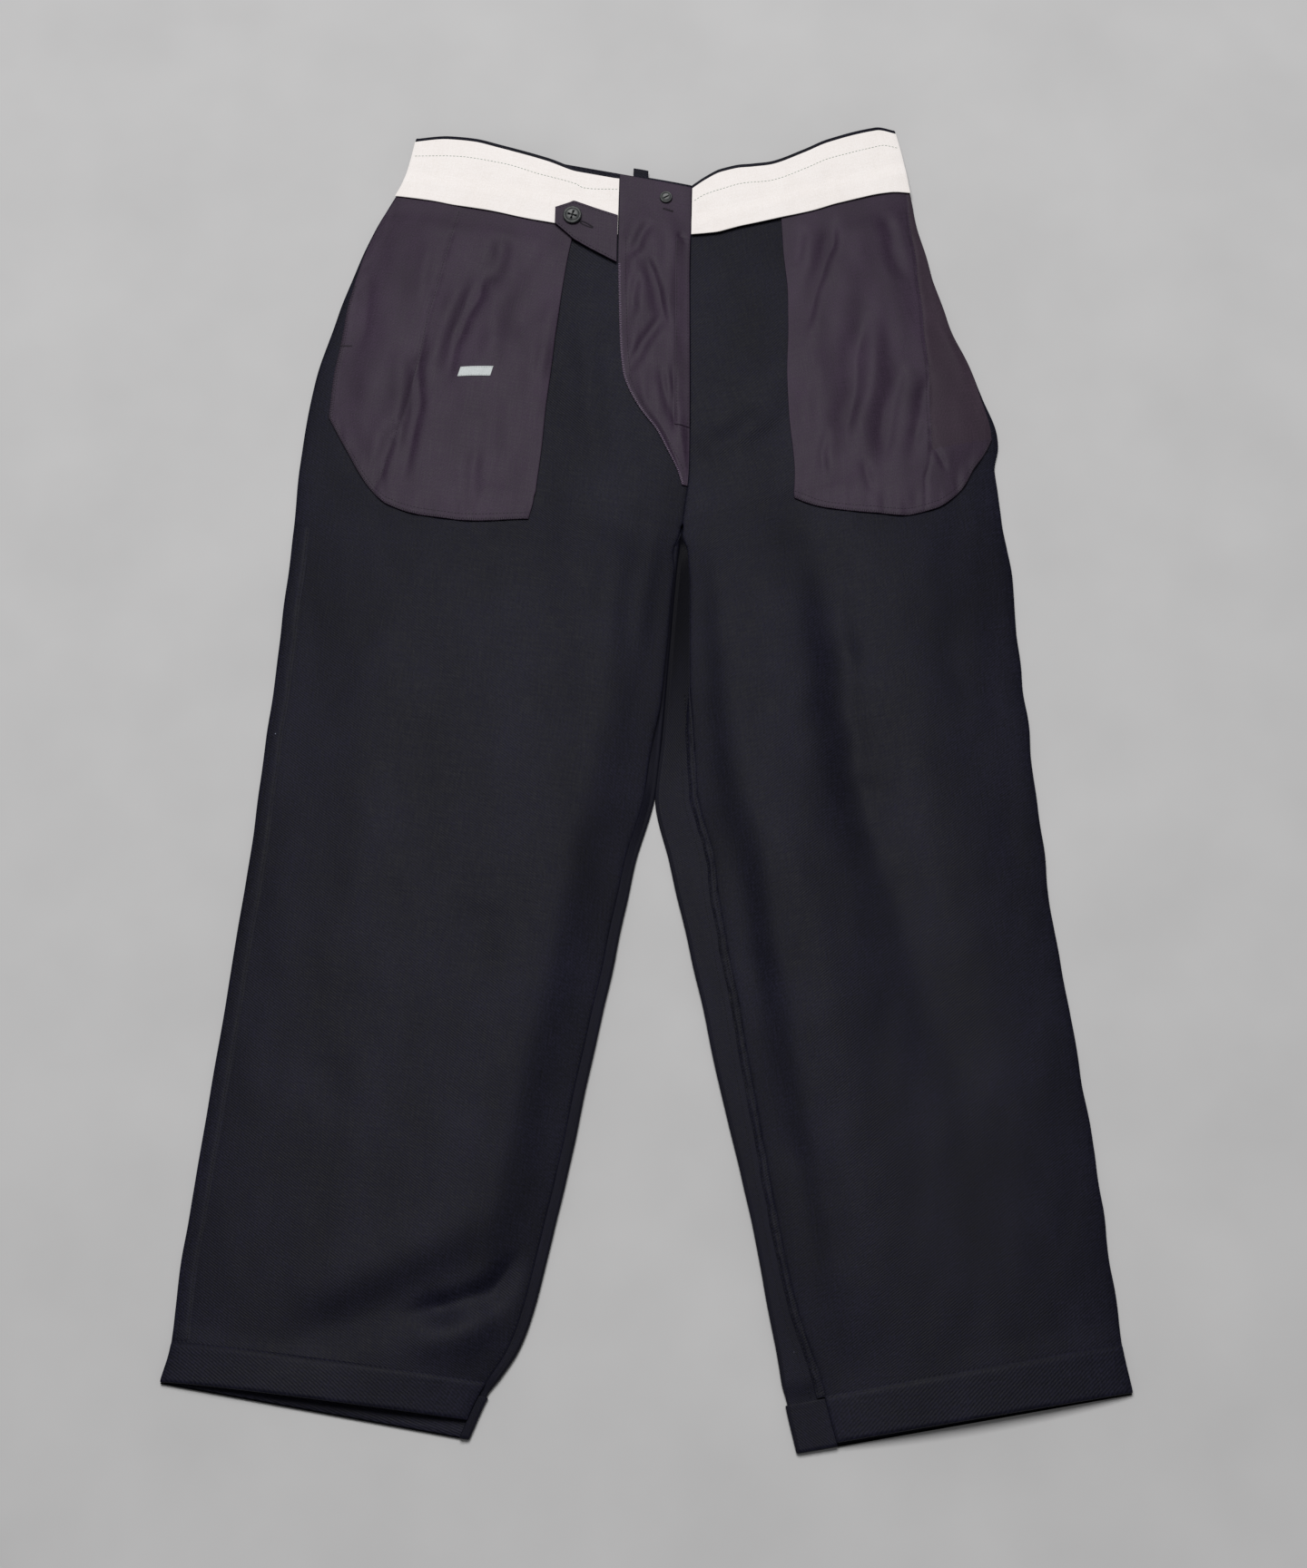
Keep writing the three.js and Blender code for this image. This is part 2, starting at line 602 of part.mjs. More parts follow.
// A round button with a raised rim, its foot just clear of the cloth under it
function addButton(name, size, lift) {
  const heightsUnder = [0, 1, 2, 3, 4, 5, 6, 7].map((k) => {
    const angle = (k * Math.PI) / 4;
    const down = size.down + size.radius * Math.sin(angle);
    const reach = size.reach + size.radius * Math.cos(angle);
    const across = acrossFromReach(size.side, reach, down);
    return frontPoint(size.side, across, down, TWILL + lift(across, down) + LINING)[2];
  });
  const foot = Math.max(...heightsUnder) + SEAM_GAP;
  const centreAcross = acrossFromReach(size.side, size.reach, size.down);
  const centre = frontPoint(size.side, centreAcross, size.down, 0);
  const profile = BUTTON_PROFILE.map(
    ({ out, up }) => new THREE.Vector2(size.radius * out, size.thick * up),
  );
  const geometry = new THREE.LatheGeometry(profile, BUTTON_SIDES);
  geometry.rotateX(Math.PI / 2);
  const button = new THREE.Mesh(geometry, material(COLOURS.button));
  button.name = name;
  button.position.set(centre[0], centre[1], foot);
  garment.add(button);
}

// The loop is a folded strap on the face of the back waistband that looks into the garment
function addBeltLoop() {
  const base = UNDERLAY + TWILL + SEAM_GAP;
  const face = (lift) => (u, v) => {
    const down = mix(BELT_LOOP.top, BELT_LOOP.bottom, v);
    const part = section('left', down);
    const reach = BELT_LOOP.reach + mix(-0.5, 0.5, u) * BELT_LOOP.width;
    return place(part, part.width - reach, base + lift + BELT_LOOP.bow * Math.sin(Math.PI * v));
  };
  cloth('belt_loop_back', COLOURS.twill, 1, 6, face(0), face(BELT_LOOP.thick));
}

function addFrontHem(side) {
  const spot = (u, v) => {
    const across = edgeward(u);
    return { across, down: drawnUp(side, across, mix(LEG_END - HEM_DEPTH, LEG_END, v)) };
  };
  onFront(`hem_front_${side}`, COLOURS.twill, side, FRONT_COLUMNS, 2, TWILL, spot, () => SEAM_GAP);
}

function addBackHem(side) {
  const face = (inset) => (u, v) => {
    const down = mix(LEG_END - HEM_DEPTH, LEG_END, v);
    return backPoint(side, u * BACK_COLUMNS, down, inset);
  };
  cloth(`hem_back_${side}`, COLOURS.twill, BACK_COLUMNS, 2, face(0), face(TWILL));
}

// Side seam allowance of the left leg, felled down onto the front
function addSideAllowance() {
  const spot = (u, v) => {
    const station = stationAt(SIDE_ALLOWANCE.station, HEM_STATION, v);
    const across = mix(SIDE_ALLOWANCE.near, SIDE_ALLOWANCE.far, u) / frontReach('left', station);
    return { across, down: drawnUp('left', across, station) };
  };
  const rows = HEM_STATION - SIDE_ALLOWANCE.station;
  onFront('seam_side_left', COLOURS.twill, 'left', 1, rows, LINING, spot, () => LAY_GAP);
}

// Inseam allowance of the right leg, standing on the back cloth where it comes round to the top
function addInseamAllowance() {
  const face = (lift) => (u, v) => {
    const down = stationAt(INSEAM_ALLOWANCE.station, HEM_STATION, v);
    const part = section('right', down);
    const fromSeam = mix(INSEAM_ALLOWANCE.near, INSEAM_ALLOWANCE.far, u);
    const reach = frontReach('right', down) + SEAM_GAP + fromSeam;
    const level = Math.max(centreAt(down) + TWILL, 2 * FOLD_RADIUS);
    return place(part, reach, level + LAY_GAP + lift);
  };
  const rows = HEM_STATION - INSEAM_ALLOWANCE.station;
  cloth('seam_inner_right', COLOURS.twill, 1, rows, face(0), face(TWILL));
}

for (const side of ['left', 'right']) {
  addFront(side);
  addBack(side);
  addFrontWaistband(side);
  addFrontCurtain(side);
  addPocketBag(side);
  addFrontHem(side);
  addBackHem(side);
}
addAcrossBack('waistband_back', COLOURS.twill, 0, WAIST_SEAM - SEAM_GAP / 2, UNDERLAY, TWILL);
addAcrossBack('curtain_back', COLOURS.curtain, CURTAIN_DROP, CURTAIN_DEPTH, 0, LINING);
addLabel();
addShield();
addFacing();
addTab();
addButton('button_tab', TAB_BUTTON, tabLift);
addButton('button_fly', FLY_BUTTON, () => SHIELD_LIFT);
addBeltLoop();
addSideAllowance();
addInseamAllowance();

export default garment;
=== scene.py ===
import math
from functools import lru_cache, partial

import bmesh
import bpy
from mathutils import Matrix, Vector, noise


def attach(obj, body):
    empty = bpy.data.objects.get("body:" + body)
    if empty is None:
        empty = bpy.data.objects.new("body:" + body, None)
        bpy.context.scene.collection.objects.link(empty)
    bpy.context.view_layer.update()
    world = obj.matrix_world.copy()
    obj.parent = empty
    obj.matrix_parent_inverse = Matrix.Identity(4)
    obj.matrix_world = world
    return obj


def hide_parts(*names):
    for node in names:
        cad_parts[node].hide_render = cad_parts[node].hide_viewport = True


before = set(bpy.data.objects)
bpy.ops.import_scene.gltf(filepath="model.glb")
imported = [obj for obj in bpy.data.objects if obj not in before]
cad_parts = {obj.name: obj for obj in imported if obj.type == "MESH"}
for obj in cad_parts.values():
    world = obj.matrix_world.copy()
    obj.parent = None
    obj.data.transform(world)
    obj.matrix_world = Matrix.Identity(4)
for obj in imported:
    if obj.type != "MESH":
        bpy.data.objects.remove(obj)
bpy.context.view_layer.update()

# Wide leg chinos, turned inside out and laid flat with the fronts up.
# Sizes are in millimetres in the tables and functions, and in metres in the meshes. A place on a panel is
# a pair: down, the distance along the leg from the waist edge, and across, 0 at the side seam and 1 at the
# front panel's other edge.
MM = 0.001

# ---------------------------------------------------------------- sizes

# Thickness of the cloths, gaps at a seam and between layers, and radius of the backs' inner folds
TWILL = 1.2
LINING = 1.0
SEAM_GAP = 0.3
LAY_GAP = 0.5
FOLD_RADIUS = 3.0
UNDERLAY = TWILL + SEAM_GAP

# How sharply the fronts rise from their edges, and the turn of a fold, in radians, from which it lies over
CREST = 0.7
OVER_TURN = 3.0

# The fold between the legs. Each stretch is the downs between which it comes, and those between which it goes.
# Downs between which the right back's fold takes the twill with painted shade
PAINTED_SHADE_TOP, PAINTED_SHADE_BOTTOM = 283, 515
SINK = {"left": 2.0, "right": 3.1}
SINK_STRETCH = ((300, 335), (500, 640))
UNDER_STRETCH = ((300, 315), (495, 525))
PRESSED = 0.17
PRESSED_STRETCH = ((283, 291), (516, 530))
OVERHANG = 3.2
OVERHANG_STRETCH = ((312, 332), (440, 495))

# Distances down from the waist edge, and the length over which the backs climb off a curtain or a hem
LEG_END = 1020.0
WAIST_SEAM = 42.0
CURTAIN_DEPTH = 57.0
HEM_DEPTH = 34.0
RAMP = 16.0

# How far the front hems are drawn up at the inseam, how that grows across, and from how far up the leg
HEM_RISE = {"left": 13.0, "right": 1.5}
HEM_SLANT = {"left": 0.7, "right": 1.5}
HEM_DRAW = 120.0

# Radii of the turned hem's inner face and of its middle, round the panel's end
HEM_TURN = 0.15
HEM_REACH = HEM_TURN + TWILL

# Plan: down, then x and y of the left side seam, left inner edge, right inner edge, right side seam
PLAN = [
    (0, (-187, 521), (36, 478), (36, 478), (200, 528)),
    (42, (-197, 480), (35, 436), (35, 436), (209, 487)),
    (90, (-219, 438), (34, 388), (34, 388), (218, 440)),
    (170, (-247, 363), (34, 308), (34, 308), (238, 363)),
    (245, (-266, 291), (33, 233), (33, 233), (266, 293)),
    (290, (-272, 246), (28, 188), (28, 188), (277, 252)),
    (310, (-274, 226), (25, 168), (25, 168), (273, 231)),
    (350, (-276, 186), (21, 129), (21, 129), (278, 190)),
    (410, (-281, 127), (16, 69), (16, 69), (284, 131)),
    (470, (-286, 66), (11, 9), (11, 9), (288, 71)),
    (515, (-291, 22), (6, -36), (6.1, -36), (292, 26)),
    (567, (-296, -30), (-8, -86), (16.5, -86), (296, -25)),
    (611, (-300, -74), (-17, -129), (26, -129), (300, -69)),
    (675, (-308, -137), (-30, -192), (40, -192), (306, -133)),
    (740, (-316, -202), (-44, -255), (53, -255), (315, -197)),
    (802, (-324, -263), (-56, -315), (67, -315), (324, -259)),
    (865, (-332, -326), (-70, -377), (80, -377), (332, -321)),
    (925, (-340, -385), (-85, -435), (90, -434), (338, -381)),
    (945, (-342, -405), (-93, -454), (94, -454), (340, -401)),
    (985, (-345, -447), (-114, -486), (100, -492), (345, -448)),
    (1020, (-352, -477), (-128, -517), (108, -527), (351, -485)),
]

# Heights: down, underside of the front at its inner edge, how much higher its middle stands, degrees that
# the back curls up at the inner edge, and how far it then reaches over the top, left and right
HEIGHTS = [
    (0, 9, 3, 0, 0, 0),
    (170, 9, 3.5, 0, 0, 0),
    (245, 8, 5, 0, 0, 0),
    (284, 5.5, 7, 0, 0, 0),
    (301, 4.1, 7.6, 90, 4.5, 5),
    (319, 5, 8.3, 180, 4.6, 8),
    (345, 6.6, 8.5, 180, 4.6, 12),
    (380, 7.6, 8.2, 180, 4.8, 15),
    (430, 7.4, 8, 180, 5.6, 19),
    (470, 6.8, 8, 180, 7.6, 24.5),
    (515, 6.2, 8, 180, 8, 32),
    (567, 6, 8, 180, 8, 33),
    (611, 6, 8, 180, 8, 29),
    (740, 6, 8, 180, 8, 24),
    (865, 6, 8, 180, 8, 18),
    (925, 6, 8, 180, 8, 21),
    (985, 6, 7.5, 180, 7, 29),
    (1020, 6, 7, 180, 7, 30),
]

# Largest folds of the fronts: side, from (across, down), to (across, down), width, height
LARGE_FOLDS = [
    ("left", (0.78, 905), (0.5, 950), 22, -4),
    ("left", (0.8, 865), (0.55, 915), 24, 2.5),
    ("left", (0.72, 600), (0.62, 760), 34, -2),
    ("left", (0.35, 400), (0.3, 620), 40, 2),
    ("left", (0.7, 90), (0.74, 330), 26, -2.5),
    ("right", (0.62, 330), (0.4, 740), 26, -3.5),
    ("right", (0.9, 430), (0.72, 700), 28, 2.5),
    ("right", (0.97, 240), (0.7, 190), 24, 2.5),
    ("right", (0.92, 800), (0.9, 960), 20, -2.5),
    ("right", (0.25, 420), (0.2, 640), 36, 2),
]

# Smaller creases: points in plan, half width, height and lean (one flank steeper)
CREASES = {
    "left_front": [
        ([(-182, -431), (-150, -424), (-118, -410), (-84, -384)], 12, -5.0, 0.35),
        ([(-176, -450), (-138, -440), (-100, -420)], 15, 2.0, 0),
        ([(-123, -117), (-124, -149), (-126, -180)], 16, -1.3, 0),
        ([(-236, -235), (-233, -263), (-223, -290)], 14, -0.9, 0),
        ([(-51, 166), (-45, 77), (-50, -25)], 16, -1.0, 0.2),
        ([(-16, 196), (-32, 121), (-37, 48)], 12, 0.9, 0),
        ([(-171, 136), (-174, 33), (-188, -54)], 22, -0.9, 0),
        ([(16, 196), (1, 136), (-5, 70)], 9, 1.2, 0),
        ([(-53, 374), (-45, 288), (-32, 211)], 10, -1.0, 0),
    ],
    "right_front": [
        ([(148, 177), (149, 106), (151, 39), (161, -39), (174, -93), (191, -129)], 17, -2.6, 0.3),
        ([(127, 174), (128, 92), (131, 18), (141, -54)], 17, 0.9, 0),
        ([(36, 237), (58, 251), (91, 271), (108, 283)], 13, 1.8, -0.3),
        ([(41, 255), (62, 269), (95, 294)], 14, -1.8, 0),
        ([(44, 196), (54, 106), (65, 4), (74, -96)], 15, 1.3, 0),
        ([(60, -54), (74, -152), (92, -249)], 18, -1.0, 0),
        ([(230, 129), (234, 26), (240, -75)], 20, -0.9, 0),
        ([(112, -283), (128, -350), (140, -410)], 17, -1.0, 0),
        ([(99, -395), (106, -423), (114, -455)], 7, -1.7, 0),
    ],
    "left_bag": [
        ([(-128, 405), (-141, 366), (-152, 336), (-162, 296)], 8, -2.6, 0.3),
        ([(-113, 430), (-120, 405), (-127, 382)], 8, -1.4, 0),
        ([(-74, 418), (-90, 378), (-114, 335)], 15, -1.8, 0.2),
        ([(-178, 340), (-182, 312), (-180, 286), (-185, 252), (-192, 216)], 7, -2.5, 0.35),
        ([(-198, 272), (-206, 240), (-216, 200)], 5.5, -1.7, 0.2),
        ([(-224, 400), (-229, 362), (-233, 326)], 7, -1.5, 0),
        ([(-194, 335), (-195, 292), (-202, 245)], 10, 0.9, 0),
        ([(-146, 392), (-160, 346), (-173, 300)], 8, 1.2, 0),
        ([(-112, 392), (-122, 350), (-134, 300)], 11, 1.2, 0),
        ([(-70, 388), (-78, 352), (-86, 300)], 8, 1.0, 0),
        ([(-132, 250), (-136, 222), (-138, 190)], 6, -0.9, 0),
        ([(-99, 303), (-109, 265), (-114, 227)], 9, -0.6, 0),
        ([(-81, 350), (-84, 303), (-88, 257)], 6, 0.6, 0),
        ([(-171, 427), (-179, 397), (-181, 362)], 6, 0.6, 0),
    ],
    "right_bag": [
        ([(150, 455), (146, 421), (135, 383), (122, 340)], 7, -2.2, 0.3),
        ([(190, 455), (197, 419), (206, 390)], 7, -2.0, 0),
        ([(124, 440), (117, 400)], 6, -1.2, 0),
        ([(168, 447), (165, 412), (156, 374), (146, 335)], 12, 0.8, 0),
        ([(172, 365), (163, 318), (157, 274), (150, 235)], 9.5, -2.0, 0.3),
        ([(186, 368), (178, 314), (170, 276), (166, 235)], 8, 1.0, 0),
        ([(203, 325), (189, 272), (180, 225)], 8.5, -2.0, 0.2),
        ([(223, 315), (214, 272), (207, 235)], 5.5, -1.3, 0),
        ([(133, 319), (125, 288), (122, 242)], 7, -0.7, 0),
        ([(141, 265), (137, 242), (139, 215)], 4, -0.8, 0),
        ([(169, 238), (174, 219), (177, 205)], 4, -0.7, 0),
        ([(223, 252), (229, 240), (236, 227)], 2.6, -1.0, 0),
        ([(236, 374), (244, 335), (254, 296)], 6, 0.7, 0),
    ],
    "shield": [
        ([(4, 443), (-6, 427), (-16, 408)], 5, -1.3, 0),
        ([(-2, 414), (8, 382), (18, 345)], 5, -1.8, 0.3),
        ([(13, 362), (-4, 335), (-16, 308)], 5, -1.8, -0.2),
        ([(24, 432), (29, 427), (34, 420)], 2.4, -1.0, 0),
        ([(-9, 397), (-11, 374), (-9, 356)], 4, -0.9, 0),
        ([(10, 319), (14, 296), (20, 265)], 4, -0.9, 0),
        ([(20, 319), (21, 288), (22, 257)], 2.6, -0.9, 0),
    ],
    "curtain": [
        ([(-178, 501), (-172, 485), (-175, 471)], 7, 0.7, 0),
        ([(-141, 496), (-134, 477), (-135, 464)], 8, -0.6, 0),
        ([(-105, 488), (-93, 466), (-85, 448)], 8, 0.6, 0),
        ([(41, 459), (46, 445), (56, 432)], 6, -0.8, 0),
        ([(37, 437), (52, 442), (63, 448)], 5, 0.6, 0),
        ([(107, 485), (112, 467), (108, 448)], 9, 0.6, 0),
        ([(148, 493), (145, 473), (146, 456)], 6, -0.6, 0),
        ([(192, 509), (200, 489), (202, 471)], 8, 0.7, 0),
    ],
}

# Front curtain's edges: across, waist edge and lower edge as distances down
CURTAIN_EDGE = {
    "left": [
        (0, 4, 57), (0.12, -2, 57), (0.21, -3, 58), (0.3, -1, 58), (0.48, 4, 60),
        (0.6, 9, 60), (0.72, 9, 60), (0.85, 6, 58), (1, 5.5, 56),
    ],
    "right": [
        (0, 4, 60), (0.09, -2.5, 56), (0.18, -3, 55), (0.33, -2, 55), (0.45, 1.5, 56), (0.6, 4.5, 55),
        (0.7, 2, 54), (0.79, -1, 53), (0.86, -1.5, 53), (0.93, 1, 51), (1, 5.5, 48),
    ],
}

# How far the waistband stands above the curtain's edge, how far the curtain starts below that edge, and
# between which distances above the bags it climbs onto them
CURTAIN_DROP = 2.5
CURTAIN_SHY = 1.0
CURTAIN_CLIMB = (14, 2)

# Pocket bags: outer and inner edge as (share of the depth, across), lower edge as (share of the width, down)
BAG_TOP = WAIST_SEAM + 3
BAG = {
    "left": {
        "outer": [(0, 0.004), (0.3, 0.006), (0.5, 0.016), (0.75, 0.04), (1, 0.056)],
        "inner": [(0, 0.612), (1, 0.617)],
        "bottom": [(0, 258), (0.08, 277), (0.24, 311), (0.34, 323), (0.48, 327), (0.66, 326), (1, 314)],
    },
    "right": {
        "outer": [(0, 0.002), (0.75, 0.003), (1, 0.02)],
        "inner": [(0, 0.588), (0.25, 0.59), (0.75, 0.654), (1, 0.65)],
        "bottom": [(0, 284), (0.06, 302), (0.16, 322), (0.3, 332), (0.42, 333), (0.6, 325), (0.82, 312), (1, 295)],
    },
}

# Fly shield: down, width left of centre front
SHIELD = [
    (6, 58.6), (85, 58), (150, 56.5), (177, 54), (190, 49.5),
    (206, 39.5), (220, 27), (235, 18), (250, 9.5), (262, 4.5),
]

# Facing strip along the shield's seam
FACING_WIDTH = 12.0
FACING_TOP = 52.0
FACING_BOTTOM = 214.0

# Waist tab: reach left of centre front, upper edge, lower edge
TAB = [(59.4, 43.6, 84.2), (91, 38.5, 72.4), (95.1, 37.9, 70.7), (99, 40, 68), (110.4, 46.2, 60.4)]

# How far the tab's point droops off the curtain, and between which distances down
TAB_DROOP = (1.4, CURTAIN_DEPTH + 4, CURTAIN_DEPTH + 26)

# Label: reach and down at its right end, then at its left end, its depth, and how far its lower edge leans
LABEL = ((158, 194.0), (184.5, 199.0), 8.6)
LABEL_SLANT = 2.4

# Buttons: down, reach from centre front, radius, thickness, number of holes, radius of the foot
TAB_BUTTON = (51.4, 96.3, 7.5, 2.6, 4, 7)
FLY_BUTTON = (19.5, 20.7, 5.0, 2.2, 2, 5)

# Belt loop on the inside of the back waistband: reach, width, top, bottom, thickness, bow
BELT_LOOP = (42, 12, -6, 40, 2.0, 0.8)

# Seam allowances: nearest and furthest distance from the seam, where they start
SIDE_ALLOWANCE = (0.4, 13, 350)
INSEAM_ALLOWANCE = (0.2, 5.5, 433)

# How far the inseam's allowance reaches back over its seam
INSEAM_OVERLAP = 1.3

# How far the overlays stand off the fronts' upper face
BAG_LIFT = 0.7
CURTAIN_OVER_BAG = BAG_LIFT + LINING + LAY_GAP
TAB_LIFT = CURTAIN_OVER_BAG + LINING + LAY_GAP

# ---------------------------------------------------------------- curves and panels


def mix(a, b, t):
    return a + (b - a) * t


def smooth(start, end, x):
    t = min(max((x - start) / (end - start), 0.0), 1.0)
    return t * t * (3 - 2 * t)


def within(stretch, x):
    """1 inside a stretch, whose two ends are each a pair over which it comes or goes, and 0 outside."""
    return smooth(*stretch[0], x) * (1 - smooth(*stretch[1], x))


def track(points):
    """A smooth curve through (x, y) points that never overshoots them, and runs on straight beyond its ends."""
    xs, ys = [p[0] for p in points], [p[1] for p in points]
    rises = [(ys[i + 1] - ys[i]) / (xs[i + 1] - xs[i]) for i in range(len(xs) - 1)]
    slopes = [rises[0]]
    for before, after in zip(rises, rises[1:]):
        slopes.append(2 * before * after / (before + after) if before * after > 0 else 0.0)
    slopes.append(rises[-1])

    def at(x):
        if x <= xs[0]:
            return ys[0] + slopes[0] * (x - xs[0])
        if x >= xs[-1]:
            return ys[-1] + slopes[-1] * (x - xs[-1])
        i = 0
        while xs[i + 1] < x:
            i += 1
        step = xs[i + 1] - xs[i]
        t = (x - xs[i]) / step
        bend = t * (1 - t) * step * ((1 - t) * slopes[i] - t * slopes[i + 1])
        return mix(ys[i], ys[i + 1], t * t * (3 - 2 * t)) + bend

    return at


def column(table, index, axis=None):
    return track([(row[0], row[index] if axis is None else row[index][axis]) for row in table])


EDGES = {
    "left": ([column(PLAN, 1, axis) for axis in (0, 1)], [column(PLAN, 2, axis) for axis in (0, 1)]),
    "right": ([column(PLAN, 4, axis) for axis in (0, 1)], [column(PLAN, 3, axis) for axis in (0, 1)]),
}
CENTRE, PUFF, TURN = (column(HEIGHTS, i) for i in (1, 2, 3))
WRAP = {"left": column(HEIGHTS, 4), "right": column(HEIGHTS, 5)}

# How much higher the fronts stand before they roll down to the inseam: down, left height, right height
SHOULDER_ROWS = [
    (0, 0, 0), (290, 0, 0), (400, 2.6, 2.6), (500, 4.2, 4.6), (620, 5.0, 5.8), (760, 4.8, 5.4), (900, 3.0, 3.4),
    (985, 0.4, 0.6), (1020, 0, 0),
]
SHOULDER = {"left": column(SHOULDER_ROWS, 1), "right": column(SHOULDER_ROWS, 2)}

# Where it stands highest across the front, and how far it spreads to the side seam and to the inseam
SHOULDER_ACROSS = 0.84
SHOULDER_SPREAD = (0.24, 0.085)

# Uneven run of the side seams, where the sewing draws the cloth in: size, and length of one wave
SEAM_WANDER = {"left": (0.9, 40), "right": (1.8, 34)}


@lru_cache(None)
def section(side, down):
    """One section across a leg: outer point, direction inwards, width, turn in radians, and wrap."""
    outer_edge, inner_edge = EDGES[side]
    outer = Vector([curve(down) for curve in outer_edge])
    inner = Vector([curve(down) for curve in inner_edge])
    along = (inner - outer).normalized()
    size, wave = SEAM_WANDER[side]
    outer += along * size * noise.noise((down / wave, 3.1 if side == "left" else 8.7, 0))
    inner -= along * 0.5 * noise.noise((down / 34, 5.3, 0)) * smooth(530, 600, down)
    inner += along * PRESSED * within(PRESSED_STRETCH, down)
    width = (inner - outer).length
    turn = math.radians(min(TURN(down), 180))
    wrap = max(WRAP[side](down) - FOLD_RADIUS, 0) * smooth(0, math.pi / 2, turn)
    return outer, along, width, turn, wrap


@lru_cache(None)
def back_lift(down):
    over_curtain = 1 - smooth(CURTAIN_DEPTH + 1, CURTAIN_DEPTH + 1 + RAMP, down)
    over_hem = smooth(LEG_END - HEM_DEPTH - 1 - RAMP, LEG_END - HEM_DEPTH - 1, down)
    return UNDERLAY * max(over_curtain, over_hem)


@lru_cache(None)
def front_reach(side, down):
    """Distance from the side seam to the front panel's inner edge."""
    _, _, width, turn, wrap = section(side, down)
    if turn <= math.pi / 2:
        return width - mix(SEAM_GAP / 2, TWILL + SEAM_GAP, smooth(0.3, 0.9, turn))
    over = OVERHANG * within(OVERHANG_STRETCH, down) if side == "left" else 0
    return width - (FOLD_RADIUS - (FOLD_RADIUS - TWILL) * math.sin(turn) - wrap * math.cos(turn)) - LAY_GAP + over


def large_folds(side, across, down, reach):
    height = 0.0
    for where, start, end, width, rise in LARGE_FOLDS:
        if where != side:
            continue
        run = ((end[0] - start[0]) * reach, end[1] - start[1])
        here = ((across - start[0]) * reach, down - start[1])
        length = math.hypot(*run)
        t = (here[0] * run[0] + here[1] * run[1]) / length
        off = (here[0] * run[1] - here[1] * run[0]) / length
        past = max(-t, t - length, 0)
        height += rise * math.exp(-((off / width) ** 2) - (past / (2 * width)) ** 2)
    return height * math.sin(math.pi * min(max(across, 0), 1))


@lru_cache(None)
def crease_runs(group):
    """Each crease as its segments with their lengths, and the box that it can reach."""
    runs = []
    for points, width, height, lean in CREASES[group]:
        legs = [(Vector(a), Vector(b) - Vector(a)) for a, b in zip(points, points[1:])]
        total = sum(leg.length for _, leg in legs)
        xs, ys = [p[0] for p in points], [p[1] for p in points]
        box = (min(xs) - 3 * width, max(xs) + 3 * width, min(ys) - 3 * width, max(ys) + 3 * width)
        runs.append((legs, total, width, height, lean, box))
    return runs


def creases(group, x, y):
    """Height of a group's creases at a place in plan. Their run and depth waver a little."""
    height = 0.0
    for index, (legs, total, width, rise, lean, box) in enumerate(crease_runs(group)):
        if not (box[0] < x < box[1] and box[2] < y < box[3]):
            continue
        best, gone, place = None, 0.0, 0.0
        for start, leg in legs:
            length = leg.length
            here = Vector((x, y)) - start
            t = min(max(here.dot(leg) / (length * length), 0.0), 1.0)
            gap = (here - leg * t).length
            if best is None or gap < best:
                best, place = gap, (gone + t * length) / total
                off = gap if here.x * leg.y > here.y * leg.x else -gap
            gone += length
        off += 0.35 * width * noise.noise((place * total / 30, index * 7.3, 1.7))
        flank = width * (1 + lean if off > 0 else 1 - lean)
        fade = smooth(-0.05, 0.3, place) * (1 - smooth(0.65, 1.05, place))
        waver = 1 + 0.35 * noise.noise((place * total / 22, index * 3.9, 4.2))
        height += rise * waver * fade * math.exp(-((off / flank) ** 2))
    return height


def settled(height, softness=1.0):
    """A height that levels out softly just under 0, where cloth comes to lie on what is below it."""
    return (height + math.hypot(height, softness) - softness) / 2


def rumple(x, y, seed, long, size):
    """Low, uneven undulation of cloth that has been worn and folded, longer down the leg than across it."""
    coarse = noise.noise((x / (0.45 * long), y / long, seed))
    fine = noise.noise((x / (0.16 * long), y / (0.3 * long), seed + 9.1))
    return size * (coarse + 0.35 * fine)


def front_point(side, across, down, lift):
    """Underside of the front cloth, raised by a lift."""
    outer, along, _, _, _ = section(side, down)
    reach = front_reach(side, down)
    share = min(max(across, 0.0), 1.0)
    edge = TWILL + SEAM_GAP + back_lift(down)
    ramp = (CENTRE(down) - edge) * math.sin(math.pi * share / 2) ** CREST
    dome = PUFF(down) * max(math.sin(math.pi * share), 0) ** CREST
    x, y = outer + along * (across * reach)
    spread = SHOULDER_SPREAD[share >= SHOULDER_ACROSS]
    shoulder = SHOULDER[side](down) * math.exp(-(((share - SHOULDER_ACROSS) / spread) ** 2))
    inland = smooth(0, 0.1, share) * smooth(0, 0.1, 1 - share)
    inland *= smooth(60, 120, down) * (1 - smooth(LEG_END - HEM_DEPTH - 30, LEG_END, down))
    small = creases(f"{side}_front", x, y) + rumple(x, y, 2.0 if side == "left" else 6.0, 110, 0.7)
    height = edge + ramp + dome + large_folds(side, across, down, reach) + inland * small + shoulder + lift
    return Vector((x, y, height))


def back_climb(side, down):
    """How far the back's fold is pressed down between the legs, and how far the cloth over it then climbs.
    The left front hangs over the fold there, so the cloth stays under it."""
    sink = SINK[side] * within(SINK_STRETCH, down)
    under = (TWILL + LAY_GAP) * within(UNDER_STRETCH, down) if side == "left" else 0
    return sink, CENTRE(down) + TWILL - 2 * FOLD_RADIUS + sink - under


# Shares of a back's columns on the surface, round the inner fold and over the top
BACK_SHARES = {"flat": 5 / 11, "arc": 4 / 11, "wrap": 2 / 11}


